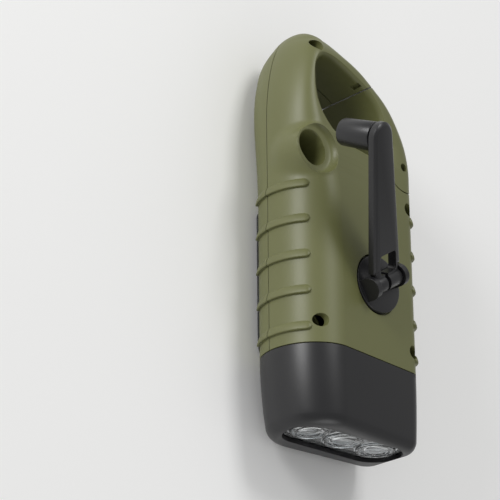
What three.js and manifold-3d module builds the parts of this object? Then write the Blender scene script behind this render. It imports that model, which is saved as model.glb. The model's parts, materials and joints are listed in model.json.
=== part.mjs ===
// A pocket flashlight with a hand crank, a solar cell and a carabiner hook, in millimetres.
// It lies on its solar frame: +Z is the crank face, +Y points to the hook and -X is the spine.
// The crank stands a little lifted out of its knob seat, as when it is being unfolded.

import * as THREE from "three";
import { mergeVertices } from "three/addons/utils/BufferGeometryUtils.js";
import Module from "manifold-3d";

const wasm = await Module();
wasm.setup();

// Case
const caseLength = 136;
const caseWidth = 52.6;
const spineDepth = 32; // thickness of the rounded spine
const faceStep = 0.6; // the solar face stands this far above the ground
const wall = 2;
const seamHeight = 13.8; // parting plane above the ground
const seamGap = 0.3;
const noseRadius = 14.5; // rounding of the spine along the grip
const hookNose = 6.2; // rounding of the spine along the hook
const gateDropCrank = 3.5; // how far the crank face falls towards the gate side
const gateDropSolar = 1.3; // how far the solar face rises towards the gate side
const hookThinCrank = 3.2; // the hook is thinner than the grip, on the crank face
const hookThinSolar = 1.9; // and on the solar face
const hookGateThin = 0.4;
const cornerRadius = 5.2; // rounding along the gate side
const tipRound = 12; // length of the rounded end of the horn
const slopeSteps = 500; // parts of the length over which a slope is read
const tipSlack = 0.12; // the horn ends this much before its rounding closes
const cornerShare = 0.9; // the corner takes at most this share of the height
const hookFrom = 0.08; // the hook begins to thin at this share of the half length
const hookFull = 0.72; // and is at its thinnest from here
const headLength = 25.4; // the black head
const neckLength = 7; // spigot of the case inside the head
const neckSkin = 1.5;
const headTaper = 0.9;
const headRound = 3.6; // rounding of the lens end
const headSpineTaper = 1.6; // the head leans in more on the spine side
const gap = 0.3; // clearance between pieces that touch
const slideGap = 0.4; // clearance round pieces that move
const overrun = 6; // how far cutters reach past what they cut
const hair = 0.03; // keeps two faces from falling together
const weld = 0.0001; // points closer than this are one point

// Ribs of the grip
const ribCount = 5;
const ribPitch = 11.85;
const ribTop = 51.35; // lowest edge of the first rib, above the head line
const ribBand = 1.9;
const ribProud = 0.7;
const ribRoot = 0.5; // depth that a rib reaches into the wall
const ribFade = 0.1; // depth of its upper edge
const ribEdge = 0.24; // height of its lower flank
const ribWrap = THREE.MathUtils.degToRad(46);
const ribSteps = 4;
const gateRibWrap = THREE.MathUtils.degToRad(63);

// Crank
const hubX = 4.5;
const hubY = -18;
const armReach = 46.8; // hub axis to knob axis
const armTurn = THREE.MathUtils.degToRad(32.6); // the folded arm leans to the spine by this
const lift = THREE.MathUtils.degToRad(27); // the arm stands open by this
const hubRadius = 9.4;
const hubHeight = 1.9;
const hubSink = 1.1; // depth of the recess round the hub
const hubRound = 0.5;
const shaftRadius = 3;
const shaftSquare = 4;
const hingeRise = 2.5; // hinge axis above the top of the hub
const earThickness = 2;
const earRadius = 3.6;
const hingePinRadius = 0.9;
const barrelRadius = 2.8;
const barrelLength = 12;
const barrelSlot = 1.6;
const slotX = -1.9; // near side of the slot between the knuckles
const armRoot = 14; // width of the arm above the hinge
const armStart = 4.4; // the plate of the arm starts this far from the hinge axis
const armTip = 9.9;
const armThickness = 3;
const armBevel = 0.7;
const armRim = 1.5; // wall round the hollow underside
const armSkin = 1.4;
const windowWide = 8.4; // window of the arm above the hinge
const windowTall = 6.4;
const windowStart = 3.2;
const knobRadius = 4.65;
const knobEnd = 4.35;
const knobLength = 12.4;
const knobRound = 0.9;
const postRadius = 2;
const postLength = 8.9;
const collar = 0.4; // spacer between the arm and the knob
const knobSkin = 1;
const knobScrewHead = 2.1;
const knobScrewLength = 5.3;
const knobScrewRadius = 0.75;
const seatRadius = 5.3;
const seatWall = 1.5;
const seatDrop = 3.3; // the mouth of the knob seat lies this far under the crank face
const seatLean = 1.3; // the mouth is drawn out by this for the swing of the knob
const seatDish = 2.2; // the dish round the mouth is this much wider than the seat
const swellRadius = 7.1; // the seat swells out of the spine with this radius

// Carabiner gate
const gateReach = 28.1;
const heelRadius = 8.7;
const gatePinRadius = 1.25;
const gatePinHead = 2.1;
const tongueRadius = 3.7;
const tongueSide = 2.2; // outer side of the web that carries the tongue
const gateSwing = THREE.MathUtils.degToRad(28);
const tongueThickness = 4.8;
const springWire = 0.7;
const springTurns = 2.5;
const springPitch = 1.5; // rise of one turn, as a share of the wire
const springRadius = 2.3;
const springLeg = 2.8;
const springSlot = 0.6; // room over and under the spring
const gateStart = THREE.MathUtils.degToRad(128); // the free end of the gate, seen from its pin
const heelStart = THREE.MathUtils.degToRad(148);
const webReach = 11.3; // how far the slot for the tongue runs out of the heel
const pinHeadDepth = 1.8; // seat of the pin's head under the solar face of the gate
const pinHeadHeight = 1;
const pinHeadRound = 0.4;
const pinTopDepth = 3.2; // end of the pin under the crank face of the gate
const rimChamfer = 1;
const rimFlare = 3; // the cutter of the eye opens to this outside the case
const notchWide = 1.8; // notch in the inner wall of the hook, beside the free end of the gate
const notchTall = 3.5;
const notchDepth = 1.3;
const notchDrop = 1.2; // under the crank face of the hook
const notchTurn = THREE.MathUtils.degToRad(-27); // lies along the wall

// Gear train
const toothModule = 0.8;
const addendumShare = 0.9;
const dedendumShare = 1.15;
const toothShare = 0.43; // width of a tooth on the pitch line, as a share of the pitch
const pressure = THREE.MathUtils.degToRad(20);
const crankTeeth = 32;
const wheelTeeth = 28;
const pinionTeeth = 10;
const gearFace = 2.5;
const pinionFace = 3.3;
const axleRadius = 1;
const axleWall = 1.4;
const axleSink = 1.6; // how far the axles reach into the shell
const gearRim = 2.4; // ring of the wheels inside the pitch line
const boreRadius = 1.3;
const stageStep = 4; // each stage lies this much lower than the one before
const crankGearBase = 23.6;
const firstTurn = THREE.MathUtils.degToRad(115);
const secondTurn = THREE.MathUtils.degToRad(60);
const thirdTurn = THREE.MathUtils.degToRad(-62);
const webDepth = 0.7;
const plateBase = 12.7;
const plateThickness = 1.6;
const plateScrewRadius = 0.7;
const plateScrewHead = 1.5;
const plateScrewLength = 6;
const hubScrewHead = 3.2;
const hubScrewHeight = 1.2;
const hubScrewLength = 3.3;
const screwDome = 0.6; // share of the head that is flat
const plateScrewHeadHeight = 1.1;
const postPad = 2.2;

// Generator
const magnetRadius = 7.2;
const coilInner = 7.8;
const coilOuter = 9.8;
const cupOuter = 10.9;
const cupBase = 5.6;
const cupWall = 0.7;
const cupTop = 12.3;

// Solar side
const frameShare = 0.7015; // width of the frame, as a share of the case
const frameShift = 1.65; // the frame lies this far to the spine
const frameRise = 4.6; // lower edge of the frame above the head line
const frameTopShare = 0.1515; // its upper edge, as a share of the half length
const frameThickness = 3;
const frameCorner = 3;
const frameArch = 3.2;
const frameEdge = 0.5; // chamfer round the frame
const frameLean = 3.9; // width of the slope that follows the spine
const frameLeanDepth = 2.4;
const frameFoot = 2.2; // width of the slope at the lower edge
const frameFootDepth = 1;
const railSpine = 7.4; // rails round the cell
const railGate = 5.5;
const railTop = 6;
const railLow = 6.2;
const cellFlare = 1.1; // the frame opens by this round the cell
const cellSink = 0.9;
const floorThickness = 1.4;
const wireHole = 1.1;
const wireHoleShare = 0.38; // how far down the cell its wires pass the floor

// Fasteners of the case
const screwHoleRadius = 2.15;
const screwHeadRadius = 1.8;
const screwHeadHeight = 1.5;
const screwShank = 0.9;
const bossRadius = 3;
const screwHeadSeat = 19.4;
const threadGap = 0.1;
const screwTip = 6.4;

// Board, switch and cells
const boardBase = 12.7;
const boardThickness = 1.5;
const buttonRise = 12.4; // the button above the head line
const buttonZ = 6.9;
const buttonRadius = 2.5;
const buttonProud = 1.2;
const buttonFlange = 0.8;
const buttonFlangeWide = 0.9;
const switchWide = 5.6;
const plungerRadius = 1.1;
const switchTravel = 0.9;
const switchNeck = 1.2;
const capacitorRadius = 2.3;
const capacitorHeight = 4.6;
const capacitorRound = 0.4;
const cellRadius = 7.7;
const cellHeight = 6;
const cellCap = 6.2; // radius of the narrow pole of a button cell
const cradleThickness = 1.2;
const cradleDrop = 3; // the cradle ends this far under the axis of the cells
const batteryX = -8.4;
const batteryRise = 4; // the cells above the head line
const batteryZ = 12.7;

// Lamp
const lampPitchShare = 0.27376; // pitch of the lamps, as a share of the case width
const lampX = 1.5;
const lampZ = 17.4;
const cupRadiusShare = 0.12167; // mouth of a cup, as a share of the case width
const cupDepth = 11;
const cupThroat = 2.9;
const lampRim = 1.2; // frame of the window round the cups
const windowThickness = 1.6;
const windowSink = 1.4;
const windowLedge = 1.3;
const ledRadius = 2.5;
const ledLength = 8;
const ledFlange = 0.5;
const ledBoardThickness = 1.4;
const ledBoardTall = 12;
const gasketThickness = 0.7;

// Shares of the half width and half length where the edge on the gate side passes
const gateEdgeShares = [
  [1, 0.28], [0.998, 0.42], [0.93, 0.538], [0.785, 0.647], [0.618, 0.729],
  [0.385, 0.8], [0.155, 0.857], [-0.19, 0.928], [-0.4, 0.974], [-0.55, 1],
];
// Shares of the half width and half length where the rim of the hook's eye passes
const eyeShares = [
  [-0.42, 0.838], [-0.57, 0.83], [-0.665, 0.782], [-0.681, 0.7], [-0.65, 0.61],
  [-0.56, 0.533], [-0.4, 0.469], [-0.19, 0.434], [0.08, 0.419], [0.34, 0.411],
  [0.455, 0.424], [0.496, 0.49], [0.468, 0.581], [0.38, 0.665], [0.22, 0.732],
  [-0.03, 0.783], [-0.22, 0.814],
];
// Shares of the half width and half length where the notch stands in that rim
const notchShares = [[0.072, 0.759]];
// Shares of the half width and half length of the gate's pin
const pinShares = [0.7985, 0.41176];
// Shares of the half width and half length of the case screw in the horn
const hornScrewShares = [[-0.64, 0.885]];
const screwInset = 3.5; // the screws on the gate side stand this far inside its edge
const screwInsetSpine = 6.7;
const upperScrewShare = 0.2; // place of the upper one, as a share of the half length
const lowerScrewRise = 7.1; // the lower ones above the head line
// Shares of the half width and half length of the posts under the gear plate
const platePostShares = [[-0.51, 0.15], [0.84, -0.18], [-0.49, -0.24]];
// Shares of the half width and half length of the gear plate's corners
const plateCornerShares = [
  [-0.63, -0.28], [-0.63, 0.19], [0.05, 0.21], [0.45, 0.21], [0.9, 0.01],
  [0.9, -0.23], [0.6, -0.28],
];
// Shares of the half width and half length of the posts under the board, its corners and its capacitor
const boardPostShares = [[0.12, -0.55], [0.44, -0.385]];
const boardShares = [[0.01, -0.59], [0.72, -0.59], [0.72, -0.355], [0.01, -0.355]];
const capacitorShares = [[0.42, -0.52]];
const cavityTopShare = 0.36; // end of the hollow, as a share of the half length
const cavityTopInset = 3.6;
const tipShare = -0.57; // where the top of the horn stands
const spineTurnShare = 0.485; // where the spine begins to lean over

// Places that follow from the sizes above
const halfLength = caseLength / 2;
const halfWidth = caseWidth / 2;
const mid = faceStep + spineDepth / 2;
const headLine = headLength - halfLength;
const armStock = armThickness / 2;
const crankFace = mid + spineDepth / 2;
const pinX = halfWidth * pinShares[0];
const pinY = halfLength * pinShares[1];
const lampPitch = caseWidth * lampPitchShare;
const cupRadius = caseWidth * cupRadiusShare;
const frameWide = caseWidth * frameShare;
const frameLow = headLine + frameRise;
const frameHigh = halfLength * frameTopShare;
const frameTall = frameHigh - frameLow;
const frameX = -frameShift;
const frameY = (frameLow + frameHigh) / 2;
const cellWide = frameWide - railSpine - railGate;
const cellTall = frameTall - railTop - railLow;
const cellX = frameX + (railSpine - railGate) / 2;
const cellY = frameY + (railLow - railTop) / 2;
const buttonY = headLine + buttonRise;
const batteryY = headLine + batteryRise;

const materials = {
  shell: { color: 0x676943, roughness: 0.45, metalness: 0 },
  black: { color: 0x2a2a2b, roughness: 0.5, metalness: 0 },
  rubber: { color: 0x171717, roughness: 0.8, metalness: 0 },
  steel: { color: 0xb9bcc0, roughness: 0.3, metalness: 1 },
  chrome: { color: 0xe3e5e8, roughness: 0.08, metalness: 1 },
  clear: { color: 0xf0f4f6, roughness: 0.05, metalness: 0 },
  cell: { color: 0x9a765a, roughness: 0.25, metalness: 0.2 },
  copper: { color: 0xb06a36, roughness: 0.35, metalness: 1 },
  gear: { color: 0xe9e6da, roughness: 0.5, metalness: 0 },
  board: { color: 0x2f6b3c, roughness: 0.5, metalness: 0 },
  magnet: { color: 0x4a4a4d, roughness: 0.5, metalness: 0.6 },
};

// A closed geometry as a solid that can be joined and cut
function solidOf(geometry) {
  const bare = geometry.clone();
  bare.deleteAttribute("normal");
  bare.deleteAttribute("uv");
  const merged = mergeVertices(bare, weld);
  return new wasm.Manifold(
    new wasm.Mesh({
      numProp: 3,
      vertProperties: new Float32Array(merged.attributes.position.array),
      triVerts: new Uint32Array(merged.index.array),
    }),
  );
}

function geometryOf(solid) {
  const mesh = solid.getMesh();
  const points = new Float32Array(mesh.numVert * 3);
  for (let i = 0; i < mesh.numVert; i++) {
    points.set(mesh.vertProperties.subarray(i * mesh.numProp, i * mesh.numProp + 3), i * 3);
  }
  const geometry = new THREE.BufferGeometry();
  geometry.setAttribute("position", new THREE.BufferAttribute(points, 3));
  geometry.setIndex(new THREE.BufferAttribute(new Uint32Array(mesh.triVerts), 1));
  const flat = geometry.toNonIndexed();
  flat.computeVertexNormals();
  return flat;
}

function joined(...solids) {
  return solids.reduce((all, next) => all.add(next));
}

function cut(solid, ...tools) {
  return tools.reduce((rest, tool) => rest.subtract(tool), solid);
}

// Points in space seen along Y and seen from above
const across = (p) => new THREE.Vector2(p.x, p.z);
const above = (p) => new THREE.Vector2(p.x, p.y);

// A skin over rings of equally many points, closed with flat ends; it turns its faces outwards
function loft(rings, flatten = across) {
  const count = rings[0].length;
  const faces = [];
  for (let i = 0; i + 1 < rings.length; i++) {
    for (let j = 0; j < count; j++) {
      const a = i * count + j;
      const b = i * count + ((j + 1) % count);
      faces.push([a, b, b + count], [a, b + count, a + count]);
    }
  }
  const last = (rings.length - 1) * count;
  for (const [first, ring, turn] of [[0, rings[0], true], [last, rings[rings.length - 1], false]]) {
    for (const [a, b, c] of THREE.ShapeUtils.triangulateShape(ring.map(flatten), [])) {
      faces.push(turn ? [first + c, first + b, first + a] : [first + a, first + b, first + c]);
    }
  }
  const points = rings.flat();
  const volume = (list) =>
    list.reduce((sum, [a, b, c]) => sum + points[a].dot(points[b].clone().cross(points[c])), 0);
  const side = faces.slice(0, 2 * count * (rings.length - 1));
  const caps = faces.slice(side.length);
  const ends = [caps, caps.map((f) => [...f].reverse())].find((option) => closes([...side, ...option]));
  const all = [...side, ...ends];
  const outward = volume(all) > 0 ? all : all.map((f) => [...f].reverse());
  const geometry = new THREE.BufferGeometry();
  const flat = points.flatMap((p) => [p.x, p.y, p.z]);
  geometry.setAttribute("position", new THREE.Float32BufferAttribute(flat, 3));
  geometry.setIndex(outward.flat());
  return solidOf(geometry);
}

// Every edge of a closed skin is walked once in each direction
function closes(faces) {
  const seen = new Set();
  for (const [a, b, c] of faces) {
    for (const edge of [`${a},${b}`, `${b},${c}`, `${c},${a}`]) {
      if (seen.has(edge)) return false;
      seen.add(edge);
    }
  }
  return true;
}

// A flat outline raised from one height to another
function prism(outline, low, high, holes = []) {
  const shape = new THREE.Shape(outline);
  shape.holes = holes.map((hole) => new THREE.Path(hole));
  const options = { depth: high - low, bevelEnabled: false, curveSegments: 1 };
  const geometry = new THREE.ExtrudeGeometry(shape, options);
  return solidOf(geometry.translate(0, 0, low));
}

// A profile of radii and heights turned about the Z axis
function turned(profile, segments = 20) {
  const points = profile.map(([radius, height]) => new THREE.Vector2(radius, height));
  return solidOf(new THREE.LatheGeometry(points, segments).rotateX(Math.PI / 2)).mirror([0, 1, 0]);
}

function rod(radius, low, high, segments = 20) {
  const geometry = new THREE.CylinderGeometry(radius, radius, high - low, segments);
  return solidOf(geometry.rotateX(Math.PI / 2).translate(0, 0, (low + high) / 2));
}

function tube(outer, inner, low, high, segments = 20) {
  return cut(rod(outer, low, high, segments), rod(inner, low - overrun, high + overrun, segments));
}

function block(x0, x1, y0, y1, z0, z1) {
  const geometry = new THREE.BoxGeometry(x1 - x0, y1 - y0, z1 - z0);
  return solidOf(geometry.translate((x0 + x1) / 2, (y0 + y1) / 2, (z0 + z1) / 2));
}

function arc(cx, cy, radius, from, to, steps) {
  return Array.from({ length: steps + 1 }, (_, i) => {
    const angle = from + ((to - from) * i) / steps;
    return new THREE.Vector2(cx + radius * Math.cos(angle), cy + radius * Math.sin(angle));
  });
}

// A rectangle with round corners about a centre
function roundedRect(cx, cy, wide, tall, radius, steps = 4) {
  const w = wide / 2 - radius;
  const h = tall / 2 - radius;
  const quarter = Math.PI / 2;
  return [[w, h], [-w, h], [-w, -h], [w, -h]].flatMap(([dx, dy], i) =>
    arc(cx + dx, cy + dy, radius, i * quarter, (i + 1) * quarter, steps),
  );
}

function smooth(value, from, to) {
  return THREE.MathUtils.smoothstep(value, from, to);
}

function mix(a, b, share) {
  return THREE.MathUtils.lerp(a, b, share);
}

// Case: cross-sections along Y
const tipX = halfWidth * tipShare;
const spineTurn = halfLength * spineTurnShare;
const gateEdge = new THREE.SplineCurve(
  gateEdgeShares.map(([x, y]) => new THREE.Vector2(x * halfWidth, y * halfLength)),
).getPoints(90);

function spineX(y) {
  if (y < spineTurn) return -halfWidth;
  const rise = Math.min(1, (y - spineTurn) / (halfLength - spineTurn));
  return tipX - (halfWidth + tipX) * Math.sqrt(1 - rise * rise);
}

function gateX(y) {
  if (y <= gateEdge[0].y) return halfWidth;
  const i = gateEdge.findIndex((p) => p.y >= y);
  if (i < 0) return gateEdge[gateEdge.length - 1].x;
  const a = gateEdge[i - 1];
  const b = gateEdge[i];
  return mix(a.x, b.x, (y - a.y) / (b.y - a.y));
}

function slope(edge, y) {
  const step = caseLength / slopeSteps;
  const top = Math.min(y, halfLength - 2 * step);
  return (edge(top + step) - edge(top - step)) / (2 * step);
}

// How far the head stands back from the line of the case at this place
function headSetback(y) {
  if (y >= headLine) return 0;
  const along = (headLine - y) / headLength;
  const end = Math.max(0, (-halfLength + headRound - y) / headRound);
  return headTaper * along * along + headRound * (1 - Math.sqrt(Math.max(0, 1 - end * end)));
}

// One cross-section of the case, drawn in by an inset
function section(y, inset = 0, setback = 0) {
  const along = THREE.MathUtils.clamp((headLine - y) / headLength, 0, 1);
  const back = inset + setback;
  const xl = spineX(y) + back + headSpineTaper * along * along;
  const xr = gateX(y) - back;
  const hook = smooth(y, halfLength * hookFrom, halfLength * hookFull);
  const dome = Math.sqrt(1 - Math.max(0, (y - halfLength + tipRound) / (tipRound + tipSlack)) ** 2);
  const spineUp = (spineDepth / 2 - hookThinCrank * hook) * dome - back;
  const spineDown = (spineDepth / 2 - hookThinSolar * hook) * dome - back;
  const gateUp = (spineDepth / 2 - mix(gateDropCrank, hookThinCrank + hookGateThin, hook)) * dome - back;
  const gateDown = (spineDepth / 2 - mix(gateDropSolar, hookThinSolar + hookGateThin, hook)) * dome - back;
  const most = (xr - xl) / 2;
  const noseX = Math.min((mix(noseRadius, hookNose, hook) - back) * Math.hypot(1, slope(spineX, y)), most);
  const cornerX = Math.min((cornerRadius - back / 2) * Math.hypot(1, slope(gateX, y)), most);
  const cornerZ = Math.min(cornerRadius - back / 2, gateUp * cornerShare);
  const ring = [];
  const add = (x, z) => ring.push(new THREE.Vector3(x, y, mid + z));
  const noseSteps = 10;
  for (let i = 0; i <= noseSteps; i++) {
    const angle = Math.PI / 2 + (Math.PI * i) / noseSteps;
    const height = angle < Math.PI ? spineUp : spineDown;
    add(xl + noseX + noseX * Math.cos(angle), height * Math.sin(angle));
  }
  const cornerSteps = 3;
  const corner = (from, low, turn) => {
    for (let i = 0; i <= cornerSteps; i++) {
      const angle = from + ((Math.PI / 2) * i) / cornerSteps;
      add(xr - cornerX + cornerX * Math.cos(angle), low + turn * cornerZ + cornerZ * Math.sin(angle));
    }
  };
  corner(-Math.PI / 2, -gateDown, 1);
  corner(0, gateUp, -1);
  return ring;
}

function shareStations(from, to, shares) {
  return shares.map((share) => mix(from, to, share));
}

const gripStationShares = [0, 0.78, 0.9, 1];
const hornStationShares = [
  0.1, 0.21, 0.33, 0.45, 0.56, 0.66, 0.75, 0.83, 0.895, 0.945, 0.98, 0.997,
];
const hornStartShare = 0.28;
const hornStart = halfLength * hornStartShare;
const caseStations = [
  ...shareStations(headLine, hornStart, gripStationShares),
  ...shareStations(hornStart, halfLength, hornStationShares),
];

const caseHull = loft(caseStations.map((y) => section(y)));

// Ribs round the spine and round the gate side, steep below and running out above
function rib(y, ringPoints) {
  const rings = ringPoints.map(([x, z, nx, nz], i) => {
    const end = i === 0 || i === ringPoints.length - 1;
    const proud = end ? 0 : ribProud;
    const at = (height, out) => new THREE.Vector3(x + nx * out, height, z + nz * out);
    return [at(y + ribBand, -ribFade), at(y, proud), at(y + ribEdge, -ribRoot)];
  });
  return loft(rings, (p) => new THREE.Vector2(p.y, Math.hypot(p.x, p.z - mid)));
}

function spineRib(y) {
  const path = Array.from({ length: ribSteps + 1 }, (_, i) => {
    const angle = Math.PI - ribWrap + (2 * ribWrap * i) / ribSteps;
    const x = noseRadius * Math.cos(angle);
    const z = (spineDepth / 2) * Math.sin(angle);
    return [-halfWidth + noseRadius + x, mid + z, Math.cos(angle), Math.sin(angle)];
  });
  return rib(y, path);
}

function gateRib(y) {
  const x = halfWidth - cornerRadius;
  const up = mid + spineDepth / 2 - gateDropCrank - cornerRadius;
  const down = mid - spineDepth / 2 + gateDropSolar + cornerRadius;
  const path = [];
  for (const [z, from] of [[down, -gateRibWrap], [up, 0]]) {
    for (let i = 0; i <= 2; i++) {
      const angle = from + (gateRibWrap * i) / 2;
      path.push([x + cornerRadius * Math.cos(angle), z + cornerRadius * Math.sin(angle),
        Math.cos(angle), Math.sin(angle)]);
    }
  }
  return rib(y, path);
}

const ribLines = Array.from({ length: ribCount }, (_, i) => headLine + ribTop - i * ribPitch);
const gripBody = joined(caseHull, ...ribLines.map(spineRib), ...ribLines.map(gateRib));

// The eye of the hook, its rim chamfered on both faces
const eyeCurve = new THREE.CatmullRomCurve3(
  eyeShares.map(([x, y]) => new THREE.Vector3(x * halfWidth, y * halfLength, 0)), true, "centripetal");
const eyeOutline = eyeCurve.getPoints(32).slice(0, -1);

function eyeRing(z, grow) {
  return eyeOutline.map((p, i) => {
    const next = eyeOutline[(i + 1) % eyeOutline.length];
    const before = eyeOutline[(i + eyeOutline.length - 1) % eyeOutline.length];
    const along = next.clone().sub(before).normalize();
    return new THREE.Vector3(p.x - along.y * grow, p.y + along.x * grow, z);
  });
}

const hookLow = mid - spineDepth / 2 + hookThinSolar;
const hookHigh = mid + spineDepth / 2 - hookThinCrank;
const eyeTurn = THREE.ShapeUtils.area(eyeOutline.map(above)) > 0 ? -1 : 1;
const eyeCutter = loft(
  [[-overrun, rimFlare], [hookLow, rimChamfer], [hookLow + rimChamfer, 0],
    [hookHigh - rimChamfer, 0], [hookHigh, rimChamfer], [crankFace + overrun, rimFlare]]
    .map(([z, grow]) => eyeRing(z, grow * eyeTurn)),
  above,
);

// The swing gate: a sector about its pin, rounded at the heel
function gateOutline(clear, heelFrom) {
  const reach = gateReach + clear;
  const heel = heelRadius + clear;
  const eyeMiddle = eyeCurve.points[Math.floor(eyeShares.length / 2)];
  return [
    ...arc(pinX, pinY, heel, heelFrom, 2 * Math.PI, 14),
    new THREE.Vector2(halfWidth + overrun, pinY),
    ...arc(pinX, pinY, reach, gateStart / 2, gateStart, 9),
    new THREE.Vector2(eyeMiddle.x - rimChamfer, pinY + gateReach / 2),
    new THREE.Vector2(eyeMiddle.x - rimChamfer, pinY + heelRadius / 2),
  ];
}

const gateBlank = caseHull
  .subtract(eyeCutter)
  .intersect(prism(gateOutline(0, heelStart), -overrun, crankFace + overrun));
const gatePocket = prism(gateOutline(slideGap, Math.PI), -overrun, crankFace + overrun);
const hookedBody = cut(gripBody, eyeCutter, gatePocket);

const tongueBase = seamHeight + seamGap + gap;
const tongueTop = tongueBase + tongueThickness;
const springRoom = springWire * (springPitch * springTurns + 1) + springSlot;
const slotLow = tongueBase - slideGap;
const slotHigh = tongueTop + springRoom;
const atPin = (solid) => solid.translate([pinX, pinY, 0]);

// Inside of the case
const cavityTop = halfLength * cavityTopShare;
const cavityStationShares = [0, 0.74, 0.86, 0.95, 1];
const cavityStations = shareStations(headLine - overrun, cavityTop, cavityStationShares);
const cavityHull = loft(
  cavityStations.map((y) => section(Math.max(y, headLine), y === cavityTop ? cavityTopInset : wall)
    .map((p) => p.setY(y))),
);
const notchHigh = hookHigh - notchDrop;
const notch = block(-notchWide / 2, notchWide / 2, -notchDepth, notchDepth, notchHigh - notchTall, notchHigh)
  .rotate([0, 0, THREE.MathUtils.radToDeg(notchTurn)]);
const pocketGuard = atPin(rod(heelRadius + slideGap + wall, -overrun, crankFace + overrun, 18));
const cavity = cavityHull.subtract(pocketGuard);

// Spigot that the head slides over
function neckSolid(low, high, inset, start, end) {
  const rings = [start, end].map((y) => section(headLine, inset).map((p) => p.setY(y)));
  return loft(rings).intersect(block(-caseWidth, caseWidth, -caseLength, caseLength, low, high));
}

const neckEnd = headLine - neckLength;
const neckInset = wall + gap;

function halfShell(low, high) {
  const half = block(-caseWidth, caseWidth, -caseLength, caseLength, low, high);
  const neck = joined(
    neckSolid(low, high, neckInset, neckEnd, headLine + wall),
    neckSolid(low, high, wall / 2, headLine, headLine + wall),
  );
  const neckBore = neckSolid(-overrun, crankFace + overrun, neckInset + neckSkin, neckEnd - overrun,
    headLine + wall + overrun);
  return cut(joined(cut(hookedBody, cavity), neck), neckBore).intersect(half);
}

// Gear train places
const crankAxis = new THREE.Vector2(hubX, hubY);
const firstCentre = (toothModule * (crankTeeth + pinionTeeth)) / 2;
const nextCentre = (toothModule * (wheelTeeth + pinionTeeth)) / 2;
const polar = (from, distance, angle) =>
  new THREE.Vector2(from.x + distance * Math.cos(angle), from.y + distance * Math.sin(angle));
const idlerOne = polar(crankAxis, firstCentre, firstTurn);
const idlerTwo = polar(idlerOne, nextCentre, secondTurn);
const rotorAxis = polar(idlerTwo, nextCentre, thirdTurn);
const wheelOneBase = crankGearBase - stageStep;
const wheelTwoBase = wheelOneBase - stageStep;
const plateTop = plateBase + plateThickness;

const at = (solid, place, z = 0) => solid.translate([place.x, place.y, z]);
const places = (shares) => shares.map(([x, y]) => new THREE.Vector2(x * halfWidth, y * halfLength));
const caseScrews = [
  ...places(hornScrewShares),
  new THREE.Vector2(halfWidth - screwInset, halfLength * upperScrewShare),
  new THREE.Vector2(screwInsetSpine - halfWidth, headLine + lowerScrewRise),
  new THREE.Vector2(halfWidth - screwInset, headLine + lowerScrewRise),
];
const platePosts = places(platePostShares);
const knobPlace = new THREE.Vector2(hubX - armReach * Math.sin(armTurn), hubY + armReach * Math.cos(armTurn));

// Heights of the crank
const faceAtHub = mix(crankFace, crankFace - gateDropCrank,
  (hubX + halfWidth - noseRadius) / (caseWidth - noseRadius - cornerRadius));
const hubFloor = faceAtHub - hubSink;
const hubBase = hubFloor + gap;
const hubTop = hubBase + hubHeight;
const hingeZ = hubTop + hingeRise;
const bearingEnd = crankGearBase + gearFace + gap + gap;
const knobTop = -armStock - collar;
const knobTip = knobTop - knobLength;
const seatTop = crankFace - seatDrop;
const seatFloor = hingeZ + knobTip - slideGap;

// Crank-side shell
const swellLow = mid + wall / 2;
const swellHeight = seatTop - swellLow;
const outward = new THREE.Vector2(-Math.sin(armTurn), Math.cos(armTurn));
const swellPlace = knobPlace.clone().addScaledVector(outward, seatLean / 2);
// Shares of the swell's radius and height along its flank
const swellShares = [[0, 0], [0.75, 0], [0.89, 0.22], [0.975, 0.5], [1, 0.75], [0.95, 1], [0, 1]];
const swell = turned(swellShares.map(([r, h]) => [swellRadius * r, swellLow + swellHeight * h]), 18);
const seatRing = (z, lean) => {
  const centre = knobPlace.clone().addScaledVector(outward, lean);
  return arc(centre.x, centre.y, seatRadius, 0, 2 * Math.PI, 20).slice(0, -1)
    .map((p) => new THREE.Vector3(p.x, p.y, z));
};
const seatBore = joined(
  at(rod(seatRadius, seatFloor, seatTop + overrun, 20), knobPlace),
  loft([
    seatRing(seatFloor + seatWall, 0), seatRing(seatTop, seatLean), seatRing(seatTop + overrun, seatLean),
  ], above),
);
const dishRadius = swellRadius + seatDish;
const seatMouth = at(turned([
  [0, seatTop], [swellRadius + gap, seatTop], [dishRadius, seatTop + seatDrop],
  [dishRadius, seatTop + overrun], [0, seatTop + overrun],
], 20), swellPlace);
const seatCup = at(rod(seatRadius + seatWall, seatFloor - seatWall, seatTop, 16), swellPlace);

const axleTop = (base) => base + pinionFace + axleSink;

function screwBoss(place, low, high) {
  return at(rod(bossRadius, low, high, 10), place);
}

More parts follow.
